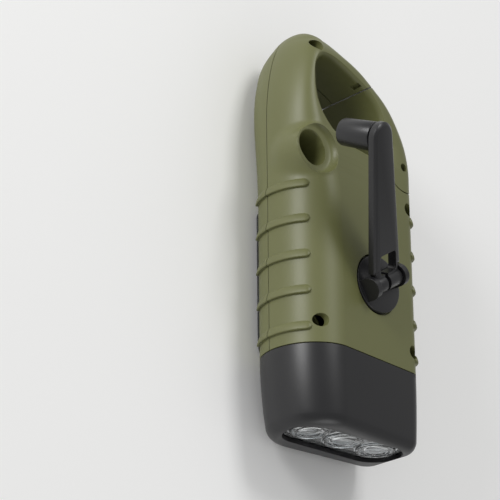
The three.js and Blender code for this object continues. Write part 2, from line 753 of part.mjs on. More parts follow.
function crankSideShell() {
  const low = seamHeight + seamGap / 2;
  const inside = caseHull.intersect(block(-caseWidth, caseWidth, -caseLength, caseLength, low, crankFace));
  const bosses = caseScrews.map((p) => screwBoss(p, low, crankFace));
  const bearing = at(rod(hubRadius + wall, bearingEnd + hubSink, faceAtHub, 20), crankAxis);
  const sleeve = at(rod(shaftRadius + gap + wall, bearingEnd, faceAtHub, 14), crankAxis);
  const posts = platePosts.map((p) => at(rod(postPad, plateTop + gap, crankFace, 8), p));
  const axleSeats = [
    [idlerOne, crankGearBase], [idlerTwo, wheelOneBase], [rotorAxis, wheelTwoBase],
  ];
  const axleBosses = axleSeats.map(([p, base]) =>
    at(rod(axleRadius + axleWall, base + pinionFace + gap, crankFace, 8), p));
  const tongue = joined(
    atPin(rod(tongueRadius, tongueBase, tongueTop, 16)),
    block(pinX - tongueRadius, pinX + tongueSide, pinY - webReach, pinY, tongueBase, tongueTop),
  );
  const body = joined(
    halfShell(low, crankFace + overrun),
    inside.intersect(joined(bearing, sleeve, ...posts, ...axleBosses, ...bosses)),
    seatCup.intersect(caseHull),
    at(swell, swellPlace).subtract(cavityHull),
    tongue,
  );
  return cut(
    body,
    at(rod(hubRadius + slideGap, hubFloor, crankFace + overrun, 22), crankAxis),
    at(rod(shaftRadius + gap, 0, crankFace + overrun, 14), crankAxis),
    seatMouth,
    seatBore,
    at(notch, places(notchShares)[0]),
    ...axleSeats.map(([p, base]) => at(rod(axleRadius + gap, 0, axleTop(base) + gap, 8), p)),
    ...caseScrews.map((p) => at(rod(screwHoleRadius, screwHeadSeat, crankFace + overrun, 10), p)),
    ...caseScrews.map((p) => at(rod(screwShank + gap, 0, crankFace, 8), p)),
    ...platePosts.map((p) => at(rod(plateScrewRadius + gap, 0, plateTop + plateScrewLength, 8), p)),
    atPin(rod(gatePinRadius + gap, 0, crankFace + overrun, 10)),
  );
}

// Solar frame and the recess that takes it
function frameOutline(grow) {
  const r = frameCorner + grow;
  const left = frameX - frameWide / 2 - grow + r;
  const right = frameX + frameWide / 2 + grow - r;
  const low = frameLow - grow + r;
  const high = frameHigh + grow;
  const quarter = Math.PI / 2;
  const arch = new THREE.QuadraticBezierCurve(
    new THREE.Vector2(right, high - frameArch),
    new THREE.Vector2(frameX, high + frameArch),
    new THREE.Vector2(left, high - frameArch / 3));
  return [
    ...arc(right, high - frameArch - r, r, 0, quarter, 3),
    ...arch.getPoints(7).slice(1, -1),
    ...arc(left, high - frameArch / 3 - r, r, quarter, 2 * quarter, 3),
    ...arc(left, low, r, 2 * quarter, 3 * quarter, 3),
    ...arc(right, low, r, 3 * quarter, 4 * quarter, 3),
  ];
}

const cellRing = (grow) =>
  roundedRect(cellX, cellY, cellWide + grow * 2, cellTall + grow * 2, cellSink + grow / 2, 3);
const level = (outline, z) => outline.map((p) => new THREE.Vector3(p.x, p.y, z));

// Takes away what lies outside a slope that starts on the ground and rises towards an edge
function slopeCutter(edge, width, depth) {
  const corners = [[edge - overrun, -overrun], [edge + width, -overrun], [edge + width, 0],
    [edge, depth], [edge - overrun, depth + overrun]];
  return prism(corners.map(([x, y]) => new THREE.Vector2(x, y)), -caseLength, caseLength);
}

const recessFloor = frameThickness + gap;
const shellFloor = recessFloor + floorThickness;

function solarSideShell() {
  const high = seamHeight - seamGap / 2;
  const inside = caseHull.intersect(block(-caseWidth, caseWidth, -caseLength, caseLength, 0, high));
  const floor = prism(frameOutline(wall), 0, shellFloor);
  const bosses = caseScrews.map((p) => screwBoss(p, 0, high));
  const boardPosts = boardPostPlaces.map((p) => at(rod(postPad, 0, boardBase - gap, 10), p));
  const cradle = block(batteryX - cellRadius, batteryX + cellRadius,
    batteryY - gap - cradleThickness, batteryY - gap, 0, batteryZ - cradleDrop);
  const body = joined(
    halfShell(-overrun, high),
    inside.intersect(joined(floor, ...bosses, ...boardPosts, cradle)),
  );
  return cut(
    body,
    prism(frameOutline(gap), -overrun, recessFloor),
    rod(wireHole, 0, shellFloor + overrun, 10).translate([cellX, cellY - cellTall * wireHoleShare, 0]),
    ...caseScrews.map((p) => at(rod(screwShank + threadGap, screwTip - gap, high + overrun, 8), p)),
    alongX(rod(buttonRadius + gap, 0, wall + overrun, 12), halfWidth - wall - gap, buttonY, buttonZ),
    alongX(rod(flangeRadius + gap, -wall, buttonFlange + gap, 12), buttonInner, buttonY, buttonZ),
    atPin(rod(gatePinRadius + gap, 0, crankFace, 10)),
  );
}

// A solid that stands on Z laid along +X from a place
function alongX(solid, x, y, z) {
  return solid.rotate([0, 90, 0]).translate([x, y, z]);
}

// A solid that stands on Z laid along -Y from a place
function alongMinusY(solid, x, y, z) {
  return solid.rotate([90, 0, 0]).translate([x, y, z]);
}

const boardPostPlaces = places(boardPostShares);

// Carabiner gate
function gateSolid() {
  const inner = tongueRadius + slideGap;
  const swept = (x, y) => new THREE.Vector2(x, y).rotateAround(new THREE.Vector2(), -gateSwing);
  const webSide = tongueSide + slideGap;
  const webRoom = [
    new THREE.Vector2(webSide, -webReach), new THREE.Vector2(webSide, 0),
    swept(-inner, 0), swept(-inner, -webReach),
  ];
  return cut(
    gateBlank,
    atPin(rod(inner, slotLow, slotHigh, 16)),
    atPin(prism(webRoom, slotLow, slotHigh)),
    atPin(rod(gatePinRadius + gap / 2, 0, crankFace + overrun, 10)),
    atPin(rod(gatePinHead + gap / 2, -overrun, pinHeadSeat, 12)),
  );
}

const pinHeadSeat = mid - spineDepth / 2 + gateDropSolar + pinHeadDepth;

function gatePin() {
  const top = crankFace - gateDropCrank - pinTopDepth;
  const face = pinHeadSeat - pinHeadHeight;
  const seat = pinHeadSeat - gap;
  const profile = [[0, face], [gatePinHead - pinHeadRound, face], [gatePinHead, face + pinHeadRound],
    [gatePinHead, seat], [gatePinRadius, seat], [gatePinRadius, top], [0, top]];
  return atPin(turned(profile, 12));
}

// Torsion spring beside the tongue: one wire with two straight legs
function torsionSpring() {
  const low = tongueTop + gap + springWire / 2;
  const rise = springWire * springPitch;
  const perTurn = 8;
  const points = [new THREE.Vector3(springRadius, -springLeg, low)];
  for (let i = 0; i <= perTurn * springTurns; i++) {
    const angle = (2 * Math.PI * i) / perTurn;
    points.push(new THREE.Vector3(springRadius * Math.cos(angle), springRadius * Math.sin(angle),
      low + (rise * i) / perTurn));
  }
  const last = points[points.length - 1];
  points.push(new THREE.Vector3(last.x, springLeg, last.z));
  return atPin(wireAlong(points, springWire / 2, 4, points.length));
}

function wireAlong(points, radius, sides, steps) {
  const path = new THREE.CatmullRomCurve3(points, false, "centripetal");
  const shape = new THREE.Shape(arc(0, 0, radius, 0, 2 * Math.PI, sides).slice(0, -1));
  return solidOf(new THREE.ExtrudeGeometry(shape, { steps, bevelEnabled: false, extrudePath: path }));
}

// Gears with straight flanks drawn through the ends of the involutes
function gearOutline(teeth, phase) {
  const pitchRadius = (toothModule * teeth) / 2;
  const base = pitchRadius * Math.cos(pressure);
  const root = pitchRadius - toothModule * dedendumShare;
  const tip = pitchRadius + toothModule * addendumShare;
  const involute = (radius) => {
    const angle = Math.acos(Math.min(1, base / radius));
    return Math.tan(angle) - angle;
  };
  const halfAt = (radius) =>
    (Math.PI * toothShare) / teeth + involute(pitchRadius) - involute(Math.max(radius, base));
  const flank = [root, tip];
  const outline = [];
  for (let k = 0; k < teeth; k++) {
    const centre = phase + (2 * Math.PI * k) / teeth;
    for (const radius of flank) {
      const angle = centre - halfAt(radius);
      outline.push(new THREE.Vector2(radius * Math.cos(angle), radius * Math.sin(angle)));
    }
    for (const radius of [...flank].reverse()) {
      const angle = centre + halfAt(radius);
      outline.push(new THREE.Vector2(radius * Math.cos(angle), radius * Math.sin(angle)));
    }
  }
  return outline;
}

// Turn of the driven gear that sets its gap on the driver's tooth
function meshPhase(driverTeeth, driverPhase, direction, drivenTeeth) {
  const pitches = ((direction - driverPhase) * driverTeeth) / (2 * Math.PI);
  return direction + Math.PI + ((pitches + 0.5) * 2 * Math.PI) / drivenTeeth;
}

const pinionOnePhase = meshPhase(crankTeeth, 0, firstTurn, pinionTeeth);
const pinionTwoPhase = meshPhase(wheelTeeth, pinionOnePhase, secondTurn, pinionTeeth);
const rotorPhase = meshPhase(wheelTeeth, pinionTwoPhase, thirdTurn, pinionTeeth);

function wheelBlank(teeth, phase, low) {
  const rim = (toothModule * teeth) / 2 - gearRim;
  const hub = (toothModule * pinionTeeth) / 2;
  const dish = tube(rim, hub, low - overrun, low + webDepth, 12);
  return cut(
    prism(gearOutline(teeth, phase), low, low + gearFace),
    dish,
  );
}

function crankGear() {
  const half = shaftSquare / 2 + gap;
  return cut(
    wheelBlank(crankTeeth, -armTurn, crankGearBase),
    block(-half, half, -half, half, 0, crankFace),
  );
}

function idlerGear(phase, wheelBase) {
  const pinionBase = wheelBase + gearFace;
  return cut(
    joined(
      wheelBlank(wheelTeeth, phase, wheelBase),
      prism(gearOutline(pinionTeeth, phase), pinionBase - webDepth, wheelBase + stageStep + pinionFace - gap),
    ),
    rod(boreRadius, 0, crankFace, 8),
  );
}

function rotor() {
  const top = axleTop(wheelTwoBase);
  return joined(
    prism(gearOutline(pinionTeeth, rotorPhase), wheelTwoBase - gap, wheelTwoBase + pinionFace - gap),
    rod(axleRadius, cupBase + cupWall + gap, top, 12),
  );
}

function ringMagnet() {
  return cut(
    rod(magnetRadius, cupBase + cupWall + slideGap, cupTop - slideGap, 16),
    rod(axleRadius + gap, 0, crankFace, 8),
  );
}

function coil() {
  const low = cupBase + cupWall + gap;
  const high = cupTop - gap;
  return tube(coilOuter, coilInner, low, high, 16);
}

function statorCup() {
  return cut(
    rod(cupOuter, cupBase, cupTop, 18),
    rod(cupOuter - cupWall, cupBase + cupWall, cupTop + overrun, 18),
    rod(axleRadius + gap, 0, crankFace, 8),
  );
}

function gearPlate() {
  const corners = places(plateCornerShares);
  return cut(
    prism(corners, plateBase, plateTop),
    at(rod(axleRadius + gap / 2, 0, crankFace, 12), idlerOne),
    at(rod(axleRadius + gap / 2, 0, crankFace, 12), idlerTwo),
    at(rod(axleRadius + gap, 0, crankFace, 12), rotorAxis),
    ...platePosts.map((p) => at(rod(plateScrewRadius + gap / 2, 0, crankFace, 10), p)),
  );
}

// Screw with a domed head, head down at the given height, its shank rising
function screw(headRadius, headHeight, shank, length) {
  const dome = [[0, -headHeight], [headRadius * screwDome, -headHeight],
    [headRadius, -headHeight * screwDome]];
  return turned([...dome, [headRadius, 0], [shank, 0], [shank, length - shank], [0, length]], 8);
}

// Crank pieces, in the frame of the hub: X along the hinge, Y along the folded arm
function hubSolid() {
  const disc = turned([[0, hubBase], [hubRadius, hubBase], [hubRadius, hubTop - hubRound],
    [hubRadius - hubRound, hubTop], [0, hubTop]], 20);
  const shaftEnd = crankGearBase - gap;
  const barrelRoom = barrelLength / 2 + slideGap;
  const half = shaftSquare / 2;
  const square = block(-half, half, -half, half, shaftEnd, bearingEnd);
  const ears = [-1, 1].map((side) => {
    const x = side > 0 ? barrelRoom : -barrelRoom - earThickness;
    const knuckle = alongX(rod(earRadius, 0, earThickness, 12), x, 0, hingeZ);
    const root = block(x, x + earThickness, -earRadius, earRadius, hubTop - hubRound, hingeZ);
    return joined(knuckle, root);
  });
  return cut(
    joined(disc, rod(shaftRadius, bearingEnd - gap, hubBase + gap, 14), square, ...ears),
    alongX(rod(hingePinRadius + gap, -caseWidth, caseWidth, 8), 0, 0, hingeZ),
    alongX(rod(barrelRadius + slideGap, -barrelRoom, barrelRoom, 14), 0, 0, hingeZ),
    rod(knobScrewRadius + threadGap, 0, crankGearBase + hubScrewLength + gap, 8),
  );
}

function hingePin() {
  const half = barrelLength / 2 + slideGap + earThickness - gap;
  return alongX(rod(hingePinRadius, -half, half, 12), 0, 0, 0);
}

function armOutline(inset) {
  const root = armRoot / 2 - inset;
  const tip = armTip / 2 - inset;
  return [
    new THREE.Vector2(-root, armStart + inset),
    new THREE.Vector2(-barrelLength / 2 + inset, armStart + inset),
    new THREE.Vector2(-barrelLength / 2 + inset, inset),
    new THREE.Vector2(barrelLength / 2 - inset, inset),
    new THREE.Vector2(barrelLength / 2 - inset, armStart + inset),
    new THREE.Vector2(root, armStart + inset),
    ...arc(0, armReach, tip, 0, Math.PI, 9),
  ];
}

// Crank arm, in the frame of the hinge: flat top, bevelled edges, hollow underside
function armSolid() {
  const shape = new THREE.Shape(armOutline(armBevel));
  const plate = solidOf(
    new THREE.ExtrudeGeometry(shape, {
      depth: armThickness - armBevel * 2, bevelEnabled: true, bevelThickness: armBevel,
      bevelSize: armBevel, bevelSegments: 1, curveSegments: 1,
    }).translate(0, 0, -armStock + armBevel),
  );
  const barrel = alongX(rod(barrelRadius, -barrelLength / 2, barrelLength / 2, 14), 0, 0, 0);
  const hollow = prism(
    [new THREE.Vector2(-armRoot / 2 + armRim, windowStart + windowTall + armRim),
      new THREE.Vector2(armRoot / 2 - armRim, windowStart + windowTall + armRim),
      new THREE.Vector2(armTip / 2 - armRim, armReach - armTip / 2 - armRim),
      new THREE.Vector2(-armTip / 2 + armRim, armReach - armTip / 2 - armRim)],
    -armThickness, armStock - armSkin);
  const post = joined(
    rod(postRadius, knobTop - postLength, 0, 12),
    rod(knobEnd, -armStock - collar / 2, 0, 14),
  ).translate([0, armReach, 0]);
  const window = block(-windowWide / 2, windowWide / 2, windowStart, windowStart + windowTall,
    -armThickness, armThickness);
  const slot = block(slotX, slotX + barrelSlot, -armRoot, windowStart + windowTall / 2, -armRoot, armRoot);
  return cut(
    joined(plate, barrel).subtract(joined(hollow, window, slot)).add(post),
    alongX(rod(hingePinRadius + gap, -caseWidth, caseWidth, 8), 0, 0, 0),
    rod(knobScrewRadius + threadGap, knobTop - caseLength, knobTop - postLength + knobScrewLength, 8)
      .translate([0, armReach, 0]),
  );
}

// Knob, in the frame of its own axis: it hangs from the arm
function knobSolid() {
  const shoulder = knobTop - postLength - gap;
  const skinEnd = shoulder - knobSkin;
  const outside = [[knobEnd - knobRound, knobTip], [knobEnd, knobTip + knobRound],
    [knobRadius, knobTop - knobRound / 2], [knobRadius - knobRound / 2, knobTop]];
  const inside = [[postRadius + gap, knobTop], [postRadius + gap, shoulder],
    [knobScrewRadius + gap, shoulder], [knobScrewRadius + gap, skinEnd],
    [knobScrewHead + gap, skinEnd], [knobScrewHead + gap, knobTip]];
  return turned([[knobScrewHead + gap, knobTip], ...outside, ...inside], 14);
}

function knobScrew() {
  const seat = knobTop - postLength - gap - gap - knobSkin;
  return screw(knobScrewHead, knobSkin, knobScrewRadius, knobScrewLength).translate([0, 0, seat]);
}

// Head with its lens end
const windowTallZ = (cupRadius + lampRim) * 2;
const windowWideX = lampPitch * 2 + windowTallZ;
const facePlane = -halfLength;

function lampPlate(grow, low, high) {
  const wide = windowWideX + grow * 2;
  const tall = windowTallZ + grow * 2;
  return alongMinusY(prism(roundedRect(0, 0, wide, tall, tall / 2 - hair, 5), low, high), lampX, 0, lampZ);
}

const headStationShares = [0, 0.3, 0.58, 0.8, 0.88, 0.93, 0.965, 0.988, 1];
const headInsideShares = [0, 0.35, 0.7, 1];

function headSolid() {
  const stations = shareStations(headLine - gap, facePlane, headStationShares);
  const outer = loft(stations.map((y) => section(y, 0, headSetback(y))));
  const innerEnd = facePlane + windowSink + windowThickness + windowLedge;
  const innerStations = shareStations(headLine + overrun, innerEnd, headInsideShares);
  const inner = loft(innerStations.map((y) => section(Math.min(y, headLine - gap), wall, headSetback(y))
    .map((p) => p.setY(y))));
  return cut(
    outer,
    inner,
    lampPlate(windowLedge, -innerEnd - overrun, halfLength + overrun),
  );
}

function windowPane() {
  const low = halfLength - windowSink - windowThickness;
  return lampPlate(windowLedge - gap, low, low + windowThickness);
}

function gasket() {
  const high = halfLength - windowSink - windowThickness - gap;
  return cut(
    lampPlate(windowLedge - gap, high - gasketThickness, high),
    lampPlate(-gap, high - gasketThickness - overrun, high + overrun),
  );
}

const lampPlaces = [-1, 0, 1].map((i) => lampX + i * lampPitch);
const reflectorFront = halfLength - windowSink - windowThickness - gap - gasketThickness - gap;
const reflectorBack = reflectorFront - cupDepth;

function reflector() {
  const profile = [[0, reflectorBack - overrun], [cupThroat, reflectorBack - overrun]];
  const steps = 3;
  for (let i = 0; i <= steps; i++) {
    const share = i / steps;
    profile.push([mix(cupThroat, cupRadius, Math.sqrt(share)), mix(reflectorBack, reflectorFront, share)]);
  }
  profile.push([cupRadius, reflectorFront + overrun], [0, reflectorFront + overrun]);
  return cut(
    lampPlate(-gap, reflectorBack, reflectorFront),
    ...lampPlaces.map((x) => alongMinusY(turned(profile, 14), x, 0, lampZ)),
  );
}

const ledSeat = reflectorBack - ledFlange - gap;

function led() {
  const high = ledSeat + ledLength;
  const dome = arc(0, high - ledRadius, ledRadius, 0, Math.PI / 2, 3).slice(0, -1).map((p) => [p.x, p.y]);
  const foot = ledRadius + ledFlange;
  const rim = [[0, ledSeat], [foot, ledSeat], [foot, ledSeat + ledFlange], [ledRadius, ledSeat + ledFlange]];
  return turned([...rim, ...dome, [0, high]], 8);
}

function ledBoard() {
  const high = ledSeat - gap;
  return alongMinusY(
    prism(roundedRect(0, 0, windowWideX - gap - gap, ledBoardTall, wall, 3), high - ledBoardThickness, high),
    lampX, 0, lampZ);
}

// Black frame of the solar cell: chamfered all round, sloped along the spine and the lower edge
function solarFrame() {
  const body = loft([
    level(frameOutline(-frameEdge), 0),
    level(frameOutline(0), frameEdge),
    level(frameOutline(0), frameThickness),
  ], above);
  const spineSlope = slopeCutter(frameX - frameWide / 2, frameLean, frameLeanDepth).rotate([90, 0, 0]);
  const footSlope = slopeCutter(frameLow, frameFoot, frameFootDepth).rotate([90, 0, 90]);
  const mouth = loft([level(cellRing(cellFlare * 2), -cellSink), level(cellRing(0), cellSink)], above);
  return cut(body, spineSlope, footSlope, mouth, prism(cellRing(0), -overrun, frameThickness + overrun));
}

function solarCell() {
  const outline = roundedRect(cellX, cellY, cellWide - gap - gap, cellTall - gap - gap, cellSink / 2, 2);
  return prism(outline, cellSink, frameThickness - gap);
}

// Switch and its rubber button, on the gate side
const buttonInner = halfWidth - wall - buttonFlange - gap;
const flangeRadius = buttonRadius + buttonFlangeWide;
// Shares of the button's radius and height along its crown
const buttonShares = [[1, 0], [0.75, 0.7], [0.4, 1], [0, 1]];

function pushButton() {
  const face = halfWidth + buttonProud - buttonInner;
  const crown = buttonShares.map(([across, up]) => [buttonRadius * across, face - buttonProud * (1 - up)]);
  const profile = [[0, 0], [flangeRadius, 0], [flangeRadius, buttonFlange],
    [buttonRadius, buttonFlange], ...crown];
  return alongX(turned(profile, 12), buttonInner, buttonY, buttonZ);
}

const plungerEnd = buttonInner - gap;
const switchFace = plungerEnd - switchTravel - switchNeck;

function switchBody() {
  const x = switchFace - switchWide;
  const body = block(x, switchFace, buttonY - switchWide / 2, buttonY + switchWide / 2,
    shellFloor + gap, boardBase - gap);
  const well = alongX(rod(plungerRadius + gap, -switchWide / 2, overrun, 12), switchFace, buttonY, buttonZ);
  return cut(body, well);
}

function switchPlunger() {
  const length = plungerEnd - switchFace + switchWide / 2 - switchTravel - gap - gap;
  return alongX(rod(plungerRadius, 0, length, 12), plungerEnd - length, buttonY, buttonZ);
}

function mainBoard() {
  return cut(
    prism(places(boardShares), boardBase, boardBase + boardThickness),
    ...boardPostPlaces.map((p) => at(rod(plateScrewRadius, 0, crankFace, 10), p)),
  );
}

function capacitor() {
  const low = boardBase + boardThickness + gap;
  const high = low + capacitorHeight;
  const profile = [[0, low], [capacitorRadius, low], [capacitorRadius, high - capacitorRound],
    [capacitorRadius - capacitorRound, high], [0, high]];
  return at(turned(profile, 12), places(capacitorShares)[0]);
}

function buttonCell(index) {
  const low = -batteryY - (cellHeight + gap) * (index + 1) + gap;
  const profile = [[0, low], [cellCap, low], [cellCap, low + gap], [cellRadius, low + gap],
    [cellRadius, low + cellHeight], [0, low + cellHeight]];
  return alongMinusY(turned(profile, 16), batteryX, 0, batteryZ);
}

// The assembly
const flashlight = new THREE.Group();

function place(name, solid, finish, group = flashlight) {
  const mesh = new THREE.Mesh(geometryOf(solid), new THREE.MeshStandardMaterial(materials[finish]));
  mesh.name = name;
  group.add(mesh);
  return mesh;
}

place("crank_side_shell", crankSideShell(), "shell");
place("solar_side_shell", solarSideShell(), "shell");
place("gate", gateSolid(), "shell");
place("gate_pin", gatePin(), "steel");
place("gate_spring", torsionSpring(), "steel");
place("head_bezel", headSolid(), "black");
place("front_window", windowPane(), "clear");
place("window_gasket", gasket(), "rubber");
place("reflector", reflector(), "chrome");
lampPlaces.forEach((x, i) => place(`led_${i + 1}`, alongMinusY(led(), x, 0, lampZ), "clear"));
place("led_board", ledBoard(), "board");
place("solar_frame", solarFrame(), "black");
place("solar_cell", solarCell(), "cell");
place("push_button", pushButton(), "rubber");
place("switch_plunger", switchPlunger(), "gear");
place("push_switch", switchBody(), "black");
place("main_board", mainBoard(), "board");
place("buffer_capacitor", capacitor(), "magnet");
[0, 1, 2].forEach((i) => place(`button_cell_${i + 1}`, buttonCell(i), "steel"));
caseScrews.forEach((p, i) => {
  const up = screw(screwHeadRadius, screwHeadHeight, screwShank, screwHeadSeat - screwTip);
  place(`case_screw_${i + 1}`, at(up.rotate([180, 0, 0]), p, screwHeadSeat + gap), "steel");
});

place("gear_plate", gearPlate(), "black");
platePosts.forEach((p, i) => {
  const up = screw(plateScrewHead, plateScrewHeadHeight, plateScrewRadius, plateScrewLength);
  place(`plate_screw_${i + 1}`, at(up, p, plateBase - gap), "steel");
});
place("idler_axle_1", at(rod(axleRadius, plateBase, axleTop(crankGearBase), 12), idlerOne), "steel");
place("idler_axle_2", at(rod(axleRadius, plateBase, axleTop(wheelOneBase), 12), idlerTwo), "steel");
place("idler_gear_1", at(idlerGear(pinionOnePhase, wheelOneBase), idlerOne), "gear");
place("idler_gear_2", at(idlerGear(pinionTwoPhase, wheelTwoBase), idlerTwo), "gear");
place("rotor_shaft", at(rotor(), rotorAxis), "gear");
place("ring_magnet", at(ringMagnet(), rotorAxis), "magnet");
place("generator_coil", at(coil(), rotorAxis), "copper");
place("stator_cup", at(statorCup(), rotorAxis), "steel");

const crank = new THREE.Group();
crank.position.set(hubX, hubY, 0);
crank.rotation.z = armTurn;
flashlight.add(crank);
place("crank_hub", hubSolid(), "black", crank);
place("hub_screw", screw(hubScrewHead, hubScrewHeight, knobScrewRadius, hubScrewLength)
  .translate([0, 0, crankGearBase - gap - gap]), "steel", crank);
place("crank_gear", crankGear(), "gear", crank);

const fold = new THREE.Group();
fold.position.z = hingeZ;
fold.rotation.x = lift;
crank.add(fold);
place("crank_arm", armSolid(), "black", fold);
place("hinge_pin", hingePin(), "steel", fold);
const grip = new THREE.Group();
grip.position.y = armReach;
fold.add(grip);
place("crank_knob", knobSolid(), "black", grip);
place("knob_screw", knobScrew(), "steel", grip);

export default flashlight;
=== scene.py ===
"""Looks of the hand crank flashlight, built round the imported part. Sizes inside are millimetres."""

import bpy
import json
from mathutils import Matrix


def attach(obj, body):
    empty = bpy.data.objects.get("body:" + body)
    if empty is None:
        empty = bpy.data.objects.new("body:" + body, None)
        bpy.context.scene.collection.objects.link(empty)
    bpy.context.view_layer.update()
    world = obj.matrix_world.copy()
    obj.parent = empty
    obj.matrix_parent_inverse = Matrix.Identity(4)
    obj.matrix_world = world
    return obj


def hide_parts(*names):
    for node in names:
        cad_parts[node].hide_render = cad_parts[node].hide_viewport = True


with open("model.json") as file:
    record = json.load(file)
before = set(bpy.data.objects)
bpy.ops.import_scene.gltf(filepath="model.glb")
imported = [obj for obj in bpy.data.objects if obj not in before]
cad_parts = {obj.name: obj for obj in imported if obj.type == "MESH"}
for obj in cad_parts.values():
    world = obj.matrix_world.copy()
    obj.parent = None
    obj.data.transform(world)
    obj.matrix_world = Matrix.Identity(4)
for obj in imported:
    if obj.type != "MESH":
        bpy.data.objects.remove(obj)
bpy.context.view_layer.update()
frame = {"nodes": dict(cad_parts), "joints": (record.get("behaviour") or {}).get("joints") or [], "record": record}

import json
from math import acos, atan2, cos, degrees, hypot, pi, radians, sin, sqrt

import bmesh
import bpy
from bpy.props import FloatProperty, FloatVectorProperty, IntProperty, PointerProperty
from bpy.types import Operator, Panel, PropertyGroup
from mathutils import Matrix, Vector

bl_info = {
    "name": "Hand Crank Flashlight",
    "version": (1, 0, 0),
    "blender": (4, 5, 0),
    "location": "View3D > Sidebar > Flashlight",
    "description": "Builds a pocket flashlight with a hand crank, a solar cell and a carabiner hook",
    "category": "Add Mesh",
}

MM = 0.001
JOINTS = {joint["name"]: joint for joint in frame["joints"]}
HUB, HINGE, GATE_PIN = [Vector(JOINTS[name]["pos_m"]) / MM
                        for name in ("crank_spin", "crank_fold", "gate_swing")]
ARM_TURN = atan2(JOINTS["crank_fold"]["axis"][1], JOINTS["crank_fold"]["axis"][0])
LIFT = acos(JOINTS["knob_spin"]["axis"][2])
HUB_PLACE = Matrix.Translation((HUB.x, HUB.y, 0)) @ Matrix.Rotation(ARM_TURN, 4, "Z")
ARM_PLACE = HUB_PLACE @ Matrix.Translation((0, 0, HINGE.z)) @ Matrix.Rotation(LIFT, 4, "X")
GATE_DROP = 3.5  # the crank face falls by this towards the gate side
HUB_SINK = 1.1  # depth of the recess round the hub
WINDOW_SINK = 1.4  # the window lies this far behind the lens end
GATE_RISE = 1.3  # the solar face rises by this towards the gate side
HOOK_DROP, HOOK_RISE = 3.2, 1.9  # how far the hook lies in from the crank face and the solar face
NOSE, HOOK_NOSE = 14.5, 6.2  # width of the spine's rounding at the grip and at the hook
CORNER = 5.2  # radius of the long corners on the gate side
HEAD_ROUND, HEAD_TAPER = 3.6, 0.9  # rounding of the lens end, and narrowing towards it
LAMP_X = 1.5  # place of the middle lamp
SOLAR_X, SOLAR_RISE = -1.65, 4.6  # middle of the solar frame, and its distance from the head
BUTTON_Y, BUTTON_Z, BUTTON_SINK = -30.2, 6.9, 3.1  # place of the push button
GATE_REACH, GATE_HEEL = 28.1, 8.7  # radii of the two ends of the gate round its pin
GATE_OPEN = radians(28)
KNOB_PLAY, POST = 0.4, 8.9  # free play of the knob, and length of its post
PIN_BORE, PILOT = 1.2, 0.85  # bore for the hinge pin, and pilot bore of a screw
BELOW, ABOVE = -6, 50  # heights of a cutter through the case

# Shares of the half width and half length: the edge on the gate side, and the eye's rim counterclockwise
GATE_EDGE = [(1, 0.28), (0.998, 0.42), (0.93, 0.538), (0.785, 0.647), (0.618, 0.729),
             (0.385, 0.8), (0.155, 0.857), (-0.19, 0.928), (-0.4, 0.974), (-0.55, 1)]
EYE_RIM = [(-0.42, 0.838), (-0.57, 0.83), (-0.665, 0.782), (-0.681, 0.7), (-0.65, 0.61),
           (-0.56, 0.533), (-0.4, 0.469), (-0.19, 0.434), (0.08, 0.419), (0.34, 0.411),
           (0.455, 0.424), (0.496, 0.49), (0.468, 0.581), (0.38, 0.665), (0.22, 0.732),
           (-0.03, 0.783), (-0.22, 0.814)]


def linear(text):
    """A colour written as sRGB hex, as linear values."""
    parts = [int(text[i:i + 2], 16) / 255 for i in (1, 3, 5)]
    return tuple(c / 12.92 if c <= 0.04045 else ((c + 0.055) / 1.055) ** 2.4 for c in parts) + (1.0,)


def length(name, description, default):
    """A size in millimetres as a property in metres."""
    return FloatProperty(name=name, description=description, default=default * MM, unit="LENGTH", min=0)


def colour(name, description, text):
    """A colour written as sRGB hex as a property."""
    return FloatVectorProperty(name=name, description=description, default=linear(text), size=4,
                               subtype="COLOR", min=0, max=1)


class CaseSettings(PropertyGroup):
    body_length: length("Length", "Tip of the hook to the lens end", 136)
    body_width: length("Width", "Spine to gate side", 52.6)
    spine_depth: length("Depth", "Thickness of the rounded spine", 32)
    ground_step: length("Ground step", "Solar face over the ground", 0.6)
    wall: length("Wall", "Thickness of the moulding", 2)
    seam_height: length("Seam height", "Parting plane over the ground", 13.8)
    seam_gap: length("Seam gap", "Gap between the halves", 0.3)
    rib_pitch: length("Rib pitch", "Distance between the ribs", 11.85)
    rib_proud: length("Rib height", "Height of the lower edge of a rib", 0.95)
    rib_count: IntProperty(name="Ribs", description="Grip ribs on each side", default=5, min=1)
    shell_colour: colour("Shell", "Colour of the case", "#66683F")
    black_colour: colour("Black", "Colour of the head", "#1A1A1C")


class HeadSettings(PropertyGroup):
    head_length: length("Head length", "Length of the black head", 25.4)
    lamp_pitch: length("Lamp pitch", "Distance between the lamps", 14.4)
    lamp_height: length("Lamp height", "Axis of the lamps over the ground", 17.4)
    cup_radius: length("Cup radius", "Mouth of a reflector cup", 6.4)
    chrome_colour: colour("Chrome", "Colour of the reflector", "#E4E6E8")


class CrankSettings(PropertyGroup):
    reach: length("Reach", "Hub axis to knob axis", 46.8)
    hub_radius: length("Hub radius", "Radius of the turning disc", 9.4)
    arm_root: length("Arm root", "Width of the arm above the hinge", 14)
    arm_tip: length("Arm tip", "Width of the arm at the knob", 9.9)
    arm_thickness: length("Arm thickness", "Thickness of the arm", 3)
    knob_radius: length("Knob radius", "Radius of the knob", 4.65)
    knob_length: length("Knob length", "Length of the knob", 12.4)
    seat_radius: length("Seat radius", "Bore that takes the knob", 5.3)
    crank_colour: colour("Crank", "Colour of the arm, hub and knob", "#19191B")


class SolarSettings(PropertyGroup):
    frame_width: length("Frame width", "Width of the black frame", 36.9)
    frame_height: length("Frame height", "Height of the black frame", 48.3)
    cell_width: length("Cell width", "Width of the cell", 24)
    cell_height: length("Cell height", "Height of the cell", 36.1)
    cell_colour: colour("Cell", "Colour of the solar cell", "#A88158")


